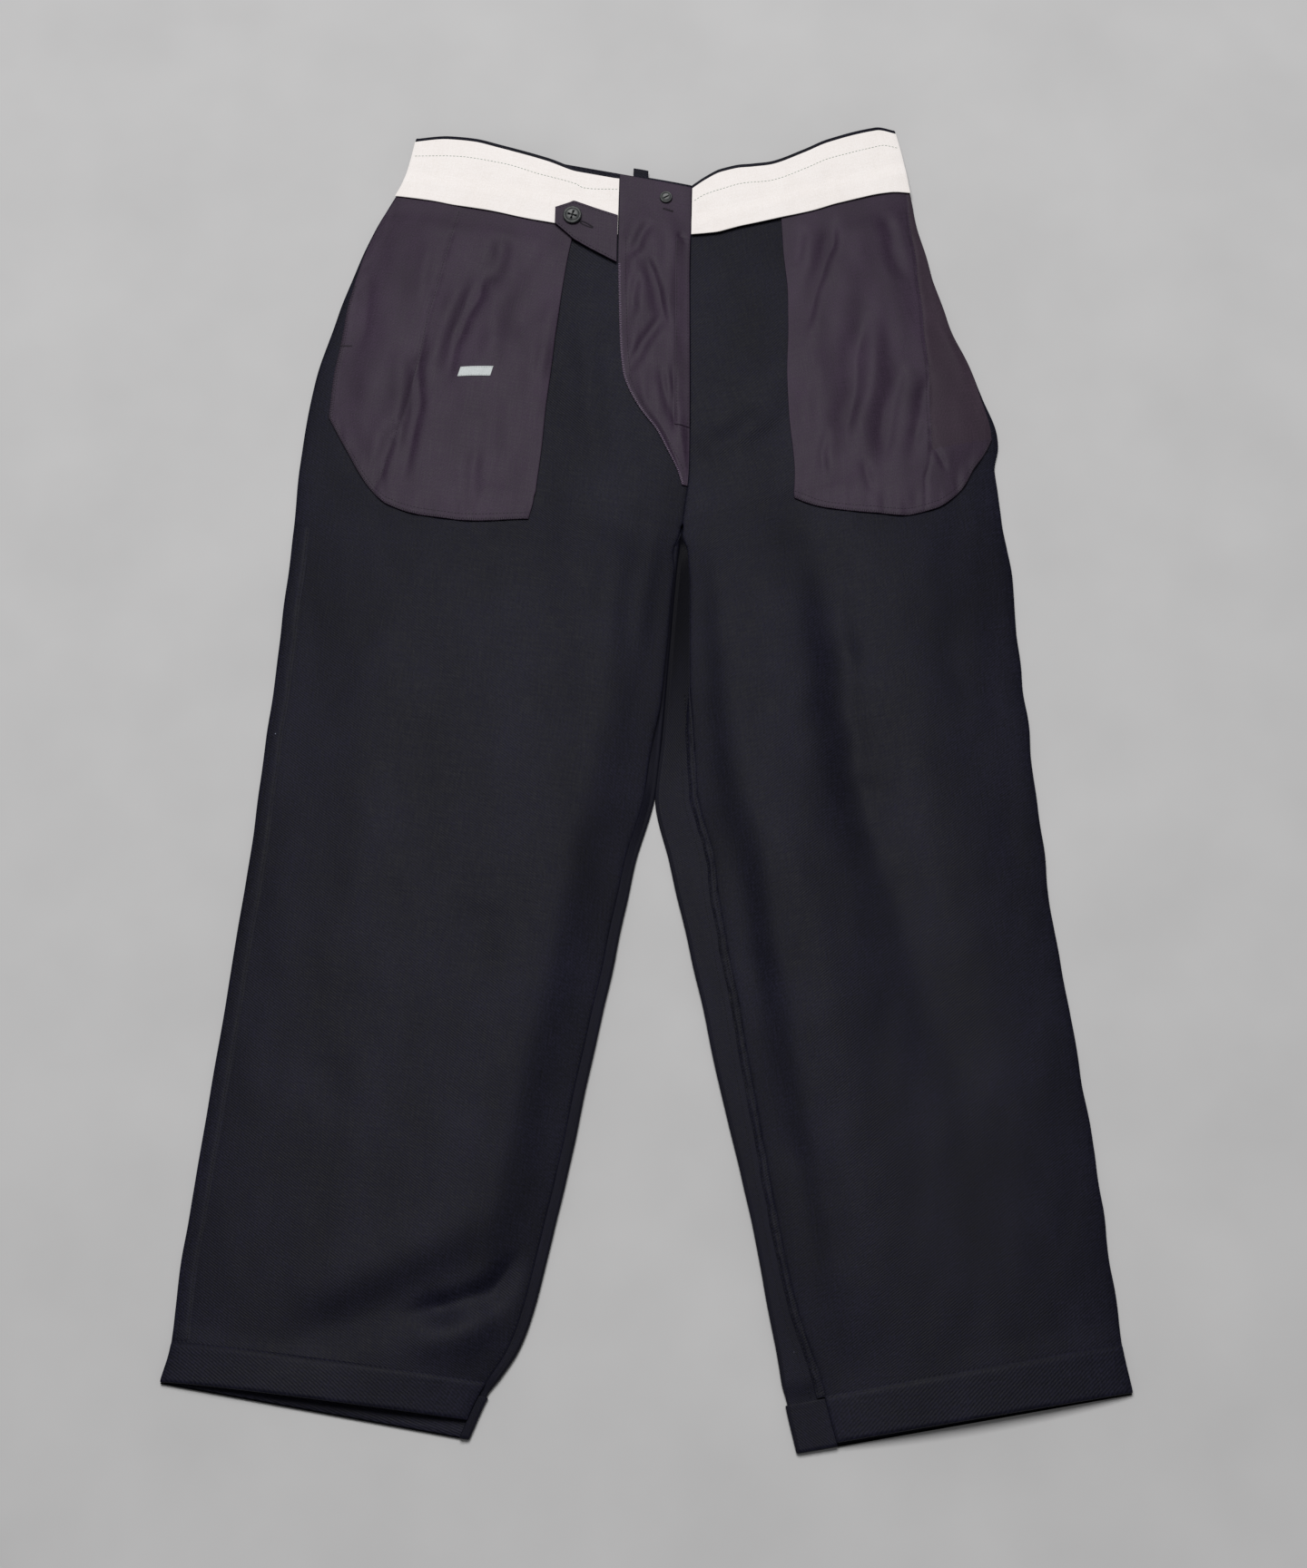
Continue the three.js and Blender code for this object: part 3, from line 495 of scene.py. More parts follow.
def back_point(side, share, down, inset):
    """The back cloth runs along the surface, curls up round the inner edge and back over the top."""
    outer, along, width, turn, wrap = section(side, down)
    flat = width - SEAM_GAP / 2 - FOLD_RADIUS * math.sin(min(turn, math.pi / 2))
    arc = FOLD_RADIUS * turn
    total, start, folded = flat + arc + wrap, 0.0, 0.0
    for name, length in (("flat", flat), ("arc", arc), ("wrap", wrap)):
        folded += length * min(max((share - start) / BACK_SHARES[name], 0.0), 1.0)
        start += BACK_SHARES[name]
    run = mix(total * share, folded, smooth(0, 0.5, turn))
    if run <= flat:
        return Vector((*(outer + along * run), inset))
    angle = min((run - flat) / FOLD_RADIUS, turn)
    radius = FOLD_RADIUS - inset
    over = max(run - flat - arc, 0.0)
    sink, climb = back_climb(side, down)
    rise = climb * over / wrap if turn > OVER_TURN and wrap > 0 else 0.0
    distance = flat + radius * math.sin(angle) + over * math.cos(angle)
    height = FOLD_RADIUS - radius * math.cos(angle) + over * math.sin(angle) + rise
    height -= sink * (1 - math.cos(angle)) / 2
    return Vector((*(outer + along * distance), height))


def across_from_reach(side, reach, down):
    return 1 - reach / front_reach(side, down)


def drawn_up(side, across, down):
    """The front cloth near the hem, drawn up the leg towards the inseam."""
    rise = HEM_RISE[side] * max(across, 0) ** HEM_SLANT[side] + 1
    return down - rise * smooth(LEG_END - HEM_DRAW, LEG_END, down)


# ---------------------------------------------------------------- materials


def colour(code):
    """sRGB hex code to a linear colour."""
    parts = [int(code[i : i + 2], 16) / 255 for i in (1, 3, 5)]
    return (*[p / 12.92 if p <= 0.04045 else ((p + 0.055) / 1.055) ** 2.4 for p in parts], 1.0)


def connect(tree, node, links):
    """Sets or links a node's sockets. A socket's name has _ for a space, or is i and its number."""
    for name, value in links.items():
        key = int(name[1:]) if name[0] == "i" and name[1:].isdigit() else name.replace("_", " ")
        if isinstance(value, bpy.types.NodeSocket):
            tree.links.new(value, node.inputs[key])
        else:
            node.inputs[key].default_value = value


def add_node(tree, kind, settings=None, stops=None, **links):
    """Adds a node with its settings and links, and gives its outputs. stops are a ramp's places and colours."""
    made = tree.nodes.new(kind)
    for name, value in (settings or {}).items():
        setattr(made, name, value)
    for index, (position, code) in enumerate(stops or []):
        elements = made.color_ramp.elements
        element = elements[index] if index < len(elements) else elements.new(position)
        element.position, element.color = position, colour(code)
    connect(tree, made, links)
    return made.outputs


def start_material(name, settings):
    """A new material, what adds a node to it, and what sets or links the sockets of its shader."""
    made = bpy.data.materials.new(name)
    made.use_nodes = True
    tree = made.node_tree
    shader = tree.nodes["Principled BSDF"]
    connect(tree, shader, settings)
    return made, partial(add_node, tree), lambda **links: connect(tree, shader, links)


def woven(name, shades, pitch, slub, settings, twill_angle=None, mottle=0.055, fleck=None, relief=0.25, painted_shade=None):
    """A woven cloth on its own weave UV map, which is in metres of flat cloth.
    shades are the dark, usual and light thread colours, pitch the spacing of the threads or twill lines,
    and slub the length of a thicker stretch of yarn, all in millimetres. mottle is the width of a patch of
    uneven dye, in metres. fleck is the spacing, size, rarity and colour of specks. deep is the stretch
    along the cloth, in metres, over which a painted shade fades from its darkest to the usual shade."""
    made, node, shade = start_material(name, settings)
    flat = node("ShaderNodeUVMap", {"uv_map": "weave"})["UV"]

    def streaks(width, length, seed, detail=2.0):
        """Noise drawn out along the cloth: width across and length along, in millimetres."""
        size = (1 / (width * MM), 1 / (length * MM), 1)
        place = node("ShaderNodeMapping", Vector=flat, Location=(seed, seed * 0.7, 0), Scale=size)["Vector"]
        return node("ShaderNodeTexNoise", Vector=place, Scale=1.0, Detail=detail, Roughness=0.55)["Fac"]

    def weighed(total, *parts):
        """A sum that starts from a total and takes in each part at its weight."""
        for value, weight in parts:
            total = node("ShaderNodeMath", {"operation": "MULTIPLY_ADD"}, i0=value, i1=weight, i2=total)[0]
        return total

    warp, weft = streaks(pitch * 1.1, slub, 3.0), streaks(slub, pitch * 1.1, 7.0)
    threads = node("ShaderNodeMath", {"operation": "ADD"}, i0=warp, i1=weft)[0]
    patches = streaks(mottle * 1000, mottle * 1600, 11.0, 3.0)
    nap = streaks(pitch * 0.9, pitch * 1.3, 17.0, 3.0)

    # Twill lines run one way and plain weave's threads both ways. A wave's period is 2 pi / (20 x scale).
    slant = (0, 0, math.radians(twill_angle or 0))
    turned = node("ShaderNodeMapping", Vector=flat, Rotation=slant)["Vector"]
    wave = {"Scale": 2 * math.pi / (20 * pitch * MM), "Distortion": 1.2, "Detail": 1.0, "Detail_Scale": 0.6}
    lines, *crossing = [
        node("ShaderNodeTexWave", {"wave_type": "BANDS", "bands_direction": axis}, Vector=turned, **wave)["Fac"]
        for axis in ("XY" if twill_angle is None else "X")
    ]
    for cross in crossing:
        lines = node("ShaderNodeMath", {"operation": "MULTIPLY"}, i0=lines, i1=cross)[0]

    level = weighed(-0.72, (nap, 0.85), (lines, 0.2), (patches, 0.6), (threads, 0.4))
    # Painted shade: the cloth darkens from one end of the stretch, fading to its usual shade at the other
    if painted_shade:
        along = node("ShaderNodeSeparateXYZ", Vector=flat)["Y"]
        ends = {"From_Min": painted_shade[0], "From_Max": painted_shade[1], "To_Min": -0.45, "To_Max": 0.0}
        fall = node("ShaderNodeMapRange", Value=along, **ends)[0]
        level = node("ShaderNodeMath", {"operation": "ADD"}, i0=level, i1=fall)[0]
    stops = list(zip((0.1, 0.5, 0.95), shades))
    base = node("ShaderNodeValToRGB", stops=stops, Fac=level)["Color"]
    if fleck:
        # Lint and neps: small pale specks, a few to a hand's breadth
        spacing, size, rarity, code = fleck
        place = node("ShaderNodeMapping", Vector=flat, Scale=(1 / (spacing * MM),) * 3)["Vector"]
        specks = node("ShaderNodeTexVoronoi", {"feature": "F1"}, Vector=place, Scale=1.0, Randomness=1.0)
        near = node("ShaderNodeMath", {"operation": "LESS_THAN"}, i0=specks["Distance"], i1=size)[0]
        chance = node("ShaderNodeSeparateColor", Color=specks["Color"])[0]
        rare = node("ShaderNodeMath", {"operation": "GREATER_THAN"}, i0=chance, i1=rarity)[0]
        shown = node("ShaderNodeMath", {"operation": "MULTIPLY"}, i0=near, i1=rare)[0]
        base = node("ShaderNodeMix", {"data_type": "RGBA"}, i0=shown, i6=base, i7=colour(code))[2]
    height = weighed(0.0, (nap, 0.8), (threads, 0.7), (lines, 0.6))
    rough = {"To_Min": settings["Roughness"] - 0.07, "To_Max": settings["Roughness"] + 0.07}
    shade(
        Base_Color=base,
        Normal=node("ShaderNodeBump", Strength=relief, Distance=0.0004, Height=height)["Normal"],
        Roughness=node("ShaderNodeMapRange", Value=threads, From_Min=0.6, From_Max=1.4, **rough)[0],
    )
    return made


def mottled(name, settings, stops, clouds, relief=None, scratches=None):
    """A material whose shade drifts. clouds and scratches are settings of a noise, and relief is the strength
    and depth of its bumps, which follow the scratches, or else the clouds."""
    made, node, shade = start_material(name, settings)
    place = node("ShaderNodeTexCoord")["Object"]
    drift = node("ShaderNodeTexNoise", Vector=place, **clouds)["Fac"]
    shade(Base_Color=node("ShaderNodeValToRGB", stops=stops, Fac=drift)["Color"])
    if relief:
        height = node("ShaderNodeTexNoise", Vector=place, **scratches)["Fac"] if scratches else drift
        bump = node("ShaderNodeBump", Strength=relief[0], Distance=relief[1], Height=height)
        shade(Normal=bump["Normal"])
    return made


def finish(roughness, specular, ior=1.5, sheen=None):
    """Plain values of a shader. sheen is its weight, roughness and, where it has one, tint."""
    values = {"Roughness": roughness, "IOR": ior, "Specular IOR Level": specular}
    for key, value in zip(("Weight", "Roughness", "Tint"), sheen or ()):
        values[f"Sheen {key}"] = colour(value) if key == "Tint" else value
    return values


# Cotton twill, piece-dyed navy black and brushed: matt, with a faint grey bloom at grazing light. Its real
# twill line is 0.6 mm, too fine to show, so it is drawn at 1.7 mm.
TWILL_LINE = 1.7
TWILL_SLUB = 17
TWILL_LOOK = {
    "shades": ("#04040a", "#0d0d19", "#1d1c2d"),
    "pitch": TWILL_LINE,
    "slub": TWILL_SLUB,
    "settings": finish(0.55, 0.105, sheen=(0.02, 0.5, "#9a9db0")),
    "twill_angle": 62,
    "fleck": (19, 0.022, 0.93, "#6d7080"),
    "relief": 0.35,
}
TWILL_CLOTH = woven("navy_cotton_twill", **TWILL_LOOK)

# The same cloth down in the fold between the legs, with painted shade: it fades to nearly black there, standing in
# for the shade in that groove
TWILL_WITH_PAINTED_FOLD_SHADE = woven("navy_cotton_twill_painted_fold_shade", **TWILL_LOOK, painted_shade=(1.84, 2.01))

# A darker, matt copy of the same twill with its twill lines running the other way, used on the back hems up to
# their fold
TWILL_DARKER_VARIANT = woven(
    "navy_cotton_twill_darker_variant", ("#020203", "#050508", "#0c0c10"), TWILL_LINE, TWILL_SLUB,
    finish(0.8, 0.04), twill_angle=118, relief=0.3,
)

# Cotton sateen pocketing, dyed aubergine: the floats of the weave give it a soft gloss along the folds.
# Its real threads are 0.25 mm, drawn at 1.1 mm.
SATEEN_WEAVE = {"pitch": 1.1, "slub": 22, "mottle": 0.04, "relief": 0.2}
SATEEN = woven(
    "aubergine_cotton_sateen", ("#1d1320", "#2b1f2f", "#3c2d41"),
    settings=finish(0.6, 0.24, sheen=(0.08, 0.45, "#b7a4bd")), twill_angle=78, **SATEEN_WEAVE,
)

# The facing of the right bag is the same sateen from another bolt, darker and redder
FACING_SATEEN = woven(
    "reddish_cotton_sateen", ("#231924", "#2e232e", "#3c2f3c"),
    settings=finish(0.64, 0.2, sheen=(0.06, 0.45, "#b39daf")), twill_angle=12, **SATEEN_WEAVE,
)

# Unbleached plain cotton of the waist curtain: warm off-white, matt. Real threads 0.35 mm, drawn at 1.2 mm.
CURTAIN_COTTON = woven(
    "off_white_plain_cotton", ("#e7e1dc", "#efeae7", "#f5f2f0"), 1.2, 12,
    finish(0.9, 0.2, sheen=(0.1, 0.6)), mottle=0.035, relief=0.3,
)

# Damask label yarn, pale grey: smooth polyester with a slight gloss. Real threads 0.15 mm, drawn at 0.8 mm.
LABEL_WEAVE = woven(
    "pale_label_weave", ("#adb4b4", "#c1c7c7", "#d8dcdb"), 0.8, 5, finish(0.55, 0.4, 1.55),
    mottle=0.012, relief=0.4,
)


def spun_thread(name, dark, light, roughness):
    """Sewing thread: two plies twisted, so its shade changes along each stitch."""
    plies = {"Scale": 1 / (1.1 * MM), "Detail": 1.0}
    return mottled(name, finish(roughness, 0.35), [(0.3, dark), (0.7, light)], plies, (0.4, 0.0002))


NAVY_THREAD = spun_thread("navy_polyester_thread", "#050508", "#101118", 0.7)
PLUM_THREAD = spun_thread("plum_polyester_thread", "#100b12", "#1f1823", 0.6)
OVERLOCK_THREAD = spun_thread("overlock_thread", "#6a5c70", "#8b7d91", 0.7)
GREEN_THREAD = spun_thread("pale_green_thread", "#5f7a69", "#869c8b", 0.6)
PALE_THREAD = spun_thread("pale_grey_thread", "#b4b9b8", "#dfe2df", 0.6)

# Cast polyester resin button, dyed dark grey with a cloudy swirl 6 mm wide, tumbled to a low gloss
BUTTON_RESIN = mottled(
    "cloudy_button_resin", finish(0.42, 0.4, 1.54), [(0.25, "#1d1f21"), (0.5, "#2f3232"), (0.78, "#484d49")],
    {"Scale": 1 / (6 * MM), "Detail": 4.0, "Distortion": 1.6}, (0.12, 0.0001),
    {"Scale": 1 / (0.7 * MM), "Detail": 3.0},
)

# Floor paint: emulsion, matt, very slightly uneven
FLOOR_PAINT = mottled(
    "pale_floor_paint", {"Roughness": 0.9, "Specular IOR Level": 0.2}, [(0.3, "#bbbbbb"), (0.7, "#c1c1c1")],
    {"Scale": 9.0, "Detail": 3.0},
)

# ---------------------------------------------------------------- making pieces


def add_object(name, data):
    made = bpy.data.objects.new(name, data)
    bpy.context.scene.collection.objects.link(made)
    return made


def add_mesh(name, maker, material=None):
    """An object at the origin from a bmesh, which is used up."""
    mesh = bpy.data.meshes.new(name)
    maker.to_mesh(mesh)
    maker.free()
    if material:
        mesh.materials.append(material)
    return add_object(name, mesh)


def finish_piece(name, maker, material, slot, node=None):
    """Turns a bmesh into a piece that rides on the garment's one body."""
    piece = add_mesh(name, maker, material)
    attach(piece, "root")
    if node:
        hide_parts(node)
    return piece


def cloth(
    name, node, grid, spot, place, cut,
    thickness=TWILL, material=TWILL_CLOTH, slot="twill", up=True, second=None, full=None,
):
    """A sheet of cloth from a grid of columns and rows, whose points have shares u and v of its width and
    length. spot(u, v) turns them to what place and cut take, and without it they take the shares themselves.
    place gives the point on the sheet, which is thickened away from that face, and cut the same point on the
    flat cloth: each cut adds its own start, so that no two pieces show the same stretch of cloth.
    second is (material, rule), where rule(u, v) says which faces take the second material.
    full(u, v) is the share of the whole thickness, less where a seam is pressed flat."""
    sheet = bmesh.new()
    bmesh.ops.create_grid(sheet, x_segments=grid[0], y_segments=grid[1], size=0.5)
    weave = sheet.loops.layers.uv.new("weave")
    shares = {vert: (vert.co.x + 0.5, vert.co.y + 0.5) for vert in sheet.verts}
    flat = {}
    for vert, uv in shares.items():
        here = spot(*uv) if spot else uv
        flat[vert] = Vector(cut(*here)) * MM
        vert.co = place(*here) * MM
    for face in sheet.faces:
        face.smooth = True
        for loop in face.loops:
            loop[weave].uv = flat[loop.vert]
        if second:
            middle = [sum(shares[vert][axis] for vert in face.verts) / 4 for axis in (0, 1)]
            face.material_index = int(second[1](*middle))
    sheet.normal_update()
    if (sum(face.normal.z * face.calc_area() for face in sheet.faces) > 0) != up:
        bmesh.ops.reverse_faces(sheet, faces=sheet.faces)
    weights = [full(*uv) for uv in shares.values()] if full else []
    piece = finish_piece(name, sheet, material, slot, node)
    if second:
        piece.data.materials.append(second[0])
    wall = piece.modifiers.new("cloth_thickness", "SOLIDIFY")
    wall.thickness = thickness * MM
    wall.offset = 1.0
    wall.use_quality_normals = True
    if full:
        group = piece.vertex_groups.new(name="full_thickness")
        for index, weight in enumerate(weights):
            group.add([index], weight, "REPLACE")
        wall.vertex_group = group.name
        wall.thickness_vertex_group = 0.0
    edge = piece.modifiers.new("soft_cut_edge", "BEVEL")
    edge.width = 0.32 * MM
    edge.segments = 2
    edge.limit_method = "ANGLE"
    edge.angle_limit = math.radians(55)


def measured(path, count=400):
    """Points along a path of t, with the distance that each has gone."""
    points = [path(i / count) for i in range(count + 1)]
    gone = [0.0]
    for a, b in zip(points, points[1:]):
        gone.append(gone[-1] + (b - a).length)
    return points, gone


# One stitch at a time is shaped on its own in this mesh, then added to its row
BEAD = bpy.data.meshes.new("one_stitch")


def stitches(maker, path, pitch, length, width, height, turn=0.0, sway=0.0):
    """Adds a row of stitches along a path, each a small bead of thread sunk halfway into the cloth.
    turn swings them off the path, in degrees, and sway does so by turns."""
    points, gone = measured(path)
    count = max(int(gone[-1] / pitch), 1)
    step = gone[-1] / count
    i = 0
    for k in range(count):
        target = (k + 0.5) * step
        while gone[i + 1] < target:
            i += 1
        t = (target - gone[i]) / max(gone[i + 1] - gone[i], 1e-6)
        middle = points[i].lerp(points[i + 1], t)
        forward = (points[min(i + 3, len(points) - 1)] - points[max(i - 2, 0)]).normalized()
        sideways = Vector((0, 0, 1)).cross(forward).normalized()
        upward = forward.cross(sideways)
        swing = Matrix.Rotation(math.radians(turn + (sway if k % 2 else -sway)), 3, "Z")
        axes = Matrix((forward, sideways, upward)).transposed() @ swing
        frame_of = Matrix.Translation(middle * MM) @ axes.to_4x4()
        size = Matrix.Diagonal((length * MM / 2, width * MM / 2, height * MM / 2, 1))
        bead = bmesh.new()
        bmesh.ops.create_uvsphere(bead, u_segments=6, v_segments=4, radius=1.0, matrix=frame_of @ size)
        bead.to_mesh(BEAD)
        bead.free()
        maker.from_mesh(BEAD)


def sewing(name, rows, material, slot):
    """One piece that holds rows of stitches: for each kind of stitch, the paths that it is sewn along.
    A stitch is its pitch, length, width and height, and maybe the turn and sway of its thread."""
    maker = bmesh.new()
    for stitch, paths in rows.items():
        for path in paths:
            stitches(maker, path, *stitch)
    for face in maker.faces:
        face.smooth = True
    finish_piece(name, maker, material, slot)


def edgeward(u):
    """Columns stand closer at the two edges, where the cloth bends more."""
    return mix(u, (1 - math.cos(math.pi * u)) / 2, 0.5)


# ---------------------------------------------------------------- legs

FIRST_DOWN = WAIST_SEAM + SEAM_GAP / 2
LAST_DOWN = LEG_END - HEM_REACH
HEM_START = LEG_END - HEM_DEPTH
SEAM_END = HEM_START - 1


def front_panel(side):
    def spot(u, v):
        across = edgeward(u)
        return across, drawn_up(side, across, mix(FIRST_DOWN, LAST_DOWN, v))

    def place(across, down):
        return front_point(side, across, down, 0)

    def cut(across, down):
        return across * front_reach(side, down), down

    cloth(f"{side}_front_cloth", f"front_{side}", (100, 380), spot, place, cut)


def back_panel(side):
    def spot(u, v):
        return u, mix(FIRST_DOWN, LAST_DOWN, v)

    def place(u, down):
        return back_point(side, u, down, back_lift(down))

    def cut(u, down):
        return u * (section(side, down)[2] + section(side, down)[4]), down + 1500

    # Faces round the fold between the legs, which take the twill with painted shade
    def in_painted_fold_shade(u, v):
        return u > BACK_SHARES["flat"] and PAINTED_SHADE_TOP < spot(u, v)[1] < PAINTED_SHADE_BOTTOM

    second = (TWILL_WITH_PAINTED_FOLD_SHADE, in_painted_fold_shade) if side == "right" else None
    cloth(f"{side}_back_cloth", f"back_{side}", (88, 260), spot, place, cut, second=second)


HEM_ROWS = 22
HEM_TURN_ROWS = 8
HEM_STITCH = 2.2
HEM_MIDDLE = LEG_END - 17.0


def hem_run(v):
    """Share of the flat part of a hem, place down the leg, and how far its turned edge has rolled over."""
    row = v * (HEM_ROWS + HEM_TURN_ROWS)
    share, angle = min(row / HEM_ROWS, 1.0), math.pi * max(row - HEM_ROWS, 0) / HEM_TURN_ROWS
    down = mix(HEM_START, LEG_END - HEM_REACH, share) + HEM_TURN * math.sin(angle)
    return share, down, (TWILL + HEM_TURN) * 0.5 * (1 - math.cos(angle))


def front_hem(side):
    def place(u, v):
        across = edgeward(u)
        share, down, fall = hem_run(v)
        puckers = 0.3 * noise.noise((across * 30, down / 9, 4.4)) * (1 - share)
        sewn = 0.2 * math.exp(-(((down - LEG_END + HEM_DEPTH - HEM_STITCH) / 1.6) ** 2))
        edge = SEAM_GAP * mix(0.2, 1, smooth(0, 0.1, share)) - sewn
        return front_point(side, across, drawn_up(side, across, down), TWILL + edge - fall + puckers * share)

    def cut(u, v):
        return edgeward(u) * front_reach(side, HEM_MIDDLE), mix(HEM_START, LEG_END, v) + 60

    def full(u, v):
        return mix(0.35, 1, smooth(0, 0.06, v))

    cloth(f"{side}_front_hem", f"hem_front_{side}", (110, HEM_ROWS + HEM_TURN_ROWS), None, place, cut, full=full)


def back_hem(side):
    def place(u, v):
        _, down, fall = hem_run(v)
        return back_point(side, u, down, TWILL + fall)

    def cut(u, v):
        return u * section(side, HEM_MIDDLE)[2], mix(HEM_START, LEG_END, v) + 1560

    cloth(
        f"{side}_back_hem", f"hem_back_{side}", (88, HEM_ROWS + HEM_TURN_ROWS), None, place, cut, up=False,
        second=(TWILL_DARKER_VARIANT, lambda u, v: u < BACK_SHARES["flat"]),
    )


def felled_side_seam():
    """Left side seam allowance, felled down onto the front."""
    near, far, start = SIDE_ALLOWANCE

    def spot(u, v):
        down = mix(start, SEAM_END, v)
        across = mix(near, far, u) / front_reach("left", round(down, 1))
        return u, across, drawn_up("left", across, down)

    def place(u, across, down):
        puckers = 0.6 * (1 + noise.noise((down / 7, u * 2, 1.3))) * u * (1 - u)
        return front_point("left", across, down, TWILL + 0.06 + puckers)

    def cut(_, across, down):
        return across * front_reach("left", round(down, 1)) + 30, down + 500

    def full(u, v):
        return mix(0.1, 0.75, smooth(0, 0.3, 1 - u)) * mix(0.1, 1, smooth(0, 0.02, 1 - v))

    cloth("left_side_allowance", "seam_side_left", (12, 330), spot, place, cut, LINING, full=full)


def inseam_point(reach_past, down, lift):
    """On the back cloth where it comes round to the top of the right leg, past the seam."""
    outer, along, _, _, wrap = section("right", down)
    reach = front_reach("right", down) + SEAM_GAP + reach_past
    level = max(CENTRE(down) + TWILL, 2 * FOLD_RADIUS) - back_climb("right", down)[1] * max(reach_past, 0) / wrap
    return Vector((*(outer + along * reach), level + LAY_GAP + lift))


def inseam_ridge():
    """Right inseam allowance, standing on the back cloth."""
    near, far, start = INSEAM_ALLOWANCE

    def place(u, v):
        down = mix(start, SEAM_END, v)
        puckers = 0.5 * noise.noise((down / 6, 2 * u, 5.6)) + 0.1 * math.sin(math.pi * u)
        sway = 0.7 * noise.noise((down / 13, 2.2, 0))
        over = INSEAM_OVERLAP * smooth(start, start + 20, down)
        reach = (far + sway) * smooth(start - 8, start + 40, down)
        return inseam_point(mix(near - over, reach, u), down, puckers * smooth(0, 0.3, u))

    def cut(u, v):
        return u * far + 60, mix(start, LEG_END, v) + 700

    def full(u, v):
        return mix(0.3, 0.8, smooth(0, 0.45, 1 - u)) * mix(0.6, 1, smooth(0, 0.25, u))

    cloth("right_inseam_allowance", "seam_inner_right", (10, 240), None, place, cut, full=full)


# ---------------------------------------------------------------- waist

CURTAIN_TOPS = {side: column(CURTAIN_EDGE[side], 1) for side in CURTAIN_EDGE}
CURTAIN_BOTTOMS = {side: column(CURTAIN_EDGE[side], 2) for side in CURTAIN_EDGE}


def front_waistband(side):
    def spot(u, v):
        return u, mix(CURTAIN_TOPS[side](u) - CURTAIN_DROP, WAIST_SEAM - SEAM_GAP / 2, v)

    def place(across, down):
        return front_point(side, across, down, 0)

    def cut(across, down):
        return across * front_reach(side, round(down, 1)), down + 100

    cloth(f"{side}_front_waistband", f"waistband_front_{side}", (100, 20), spot, place, cut)


def across_back(name, node, top, bottom, inset, *made_of):
    """A band across both backs."""

    def spot(u, v):
        return u, mix(top, bottom, v)

    def place(u, down):
        outer, along, width, _, _ = section("left" if u <= 0.5 else "right", down)
        return Vector((*(outer + along * ((2 * u if u <= 0.5 else 2 - 2 * u) * width)), inset))

    def cut(u, down):
        return u * 420, down + 200

    cloth(name, node, (160, 16), spot, place, cut, *made_of)


def curtain_point(side, across, down, lift):
    climbed = smooth(BAG_TOP - CURTAIN_CLIMB[0], BAG_TOP - CURTAIN_CLIMB[1], down)
    point = front_point(side, across, down, TWILL + mix(LAY_GAP, CURTAIN_OVER_BAG, climbed) + lift)
    share = smooth(0, 26, down - CURTAIN_TOPS[side](across))
    slack = 0.5 + 0.5 * noise.noise((point.x / 31, point.y / 40, 7.7))
    point.z += share * max(0.45 + slack * 0.9 + creases("curtain", point.x, point.y), 0)
    return point


def front_curtain(side):
    end_reach = SHIELD[0][1] + LAY_GAP if side == "left" else SEAM_GAP

    def spot(u, v):
        rough = u * across_from_reach(side, end_reach, CURTAIN_DEPTH / 2)
        down = mix(CURTAIN_TOPS[side](rough) + CURTAIN_SHY, CURTAIN_BOTTOMS[side](rough), v)
        return u * across_from_reach(side, end_reach, round(down, 2)), down

    def place(across, down):
        return curtain_point(side, across, down, 0)

    def cut(across, down):
        return across * front_reach(side, round(down, 2)), down

    cloth(
        f"{side}_front_curtain", f"curtain_front_{side}", (110, 30), spot, place, cut,
        LINING, CURTAIN_COTTON, "curtain_cotton",
    )


def belt_loop():
    reach, width, top, bottom, thick, bow = BELT_LOOP
    base = UNDERLAY + TWILL + SEAM_GAP

    def place(u, v):
        outer, along, full, _, _ = section("left", mix(top, bottom, v))
        across = full - reach + (u - 0.5) * width
        rounded = 0.35 * math.sin(math.pi * u)
        return Vector((*(outer + along * across), base + bow * math.sin(math.pi * v) + rounded))

    def cut(u, v):
        return u * width + 300, v * (bottom - top)

    cloth("back_belt_loop", "belt_loop_back", (10, 36), None, place, cut, thick - 0.4)


# ---------------------------------------------------------------- pocket bags

BAG_EDGES = {side: {edge: track(rows) for edge, rows in BAG[side].items()} for side in BAG}
BAG_WIDTH = 280
SATEEN_CLOTH = (LINING, SATEEN, "lining_sateen")

# Stitched edge of the facing inside each bag: down, across
FACING_LINE = {
    "left": track([
        (64, 0.23), (88, 0.241), (123, 0.249), (167, 0.252), (194, 0.255), (216, 0.254), (283, 0.227), (312, 0.199),
    ]),
    "right": track([(60, 0.012), (73, 0.02), (130, 0.056), (175, 0.097), (234, 0.168), (270, 0.206), (330, 0.235)]),
}
FACING_END = 283


def bag_spot(side, u, v):
    edges = BAG_EDGES[side]
    return mix(edges["outer"](v), edges["inner"](v), u), mix(BAG_TOP, edges["bottom"](u), v)


def bag_shares(side, across, down):
    """The bag's own shares for a place on the panel."""
    edges = BAG_EDGES[side]
    v = 0.5
    for _ in range(4):
        u = (across - edges["outer"](v)) / (edges["inner"](v) - edges["outer"](v))
        v = (down - BAG_TOP) / (edges["bottom"](min(max(u, 0), 1)) - BAG_TOP)
    return u, v


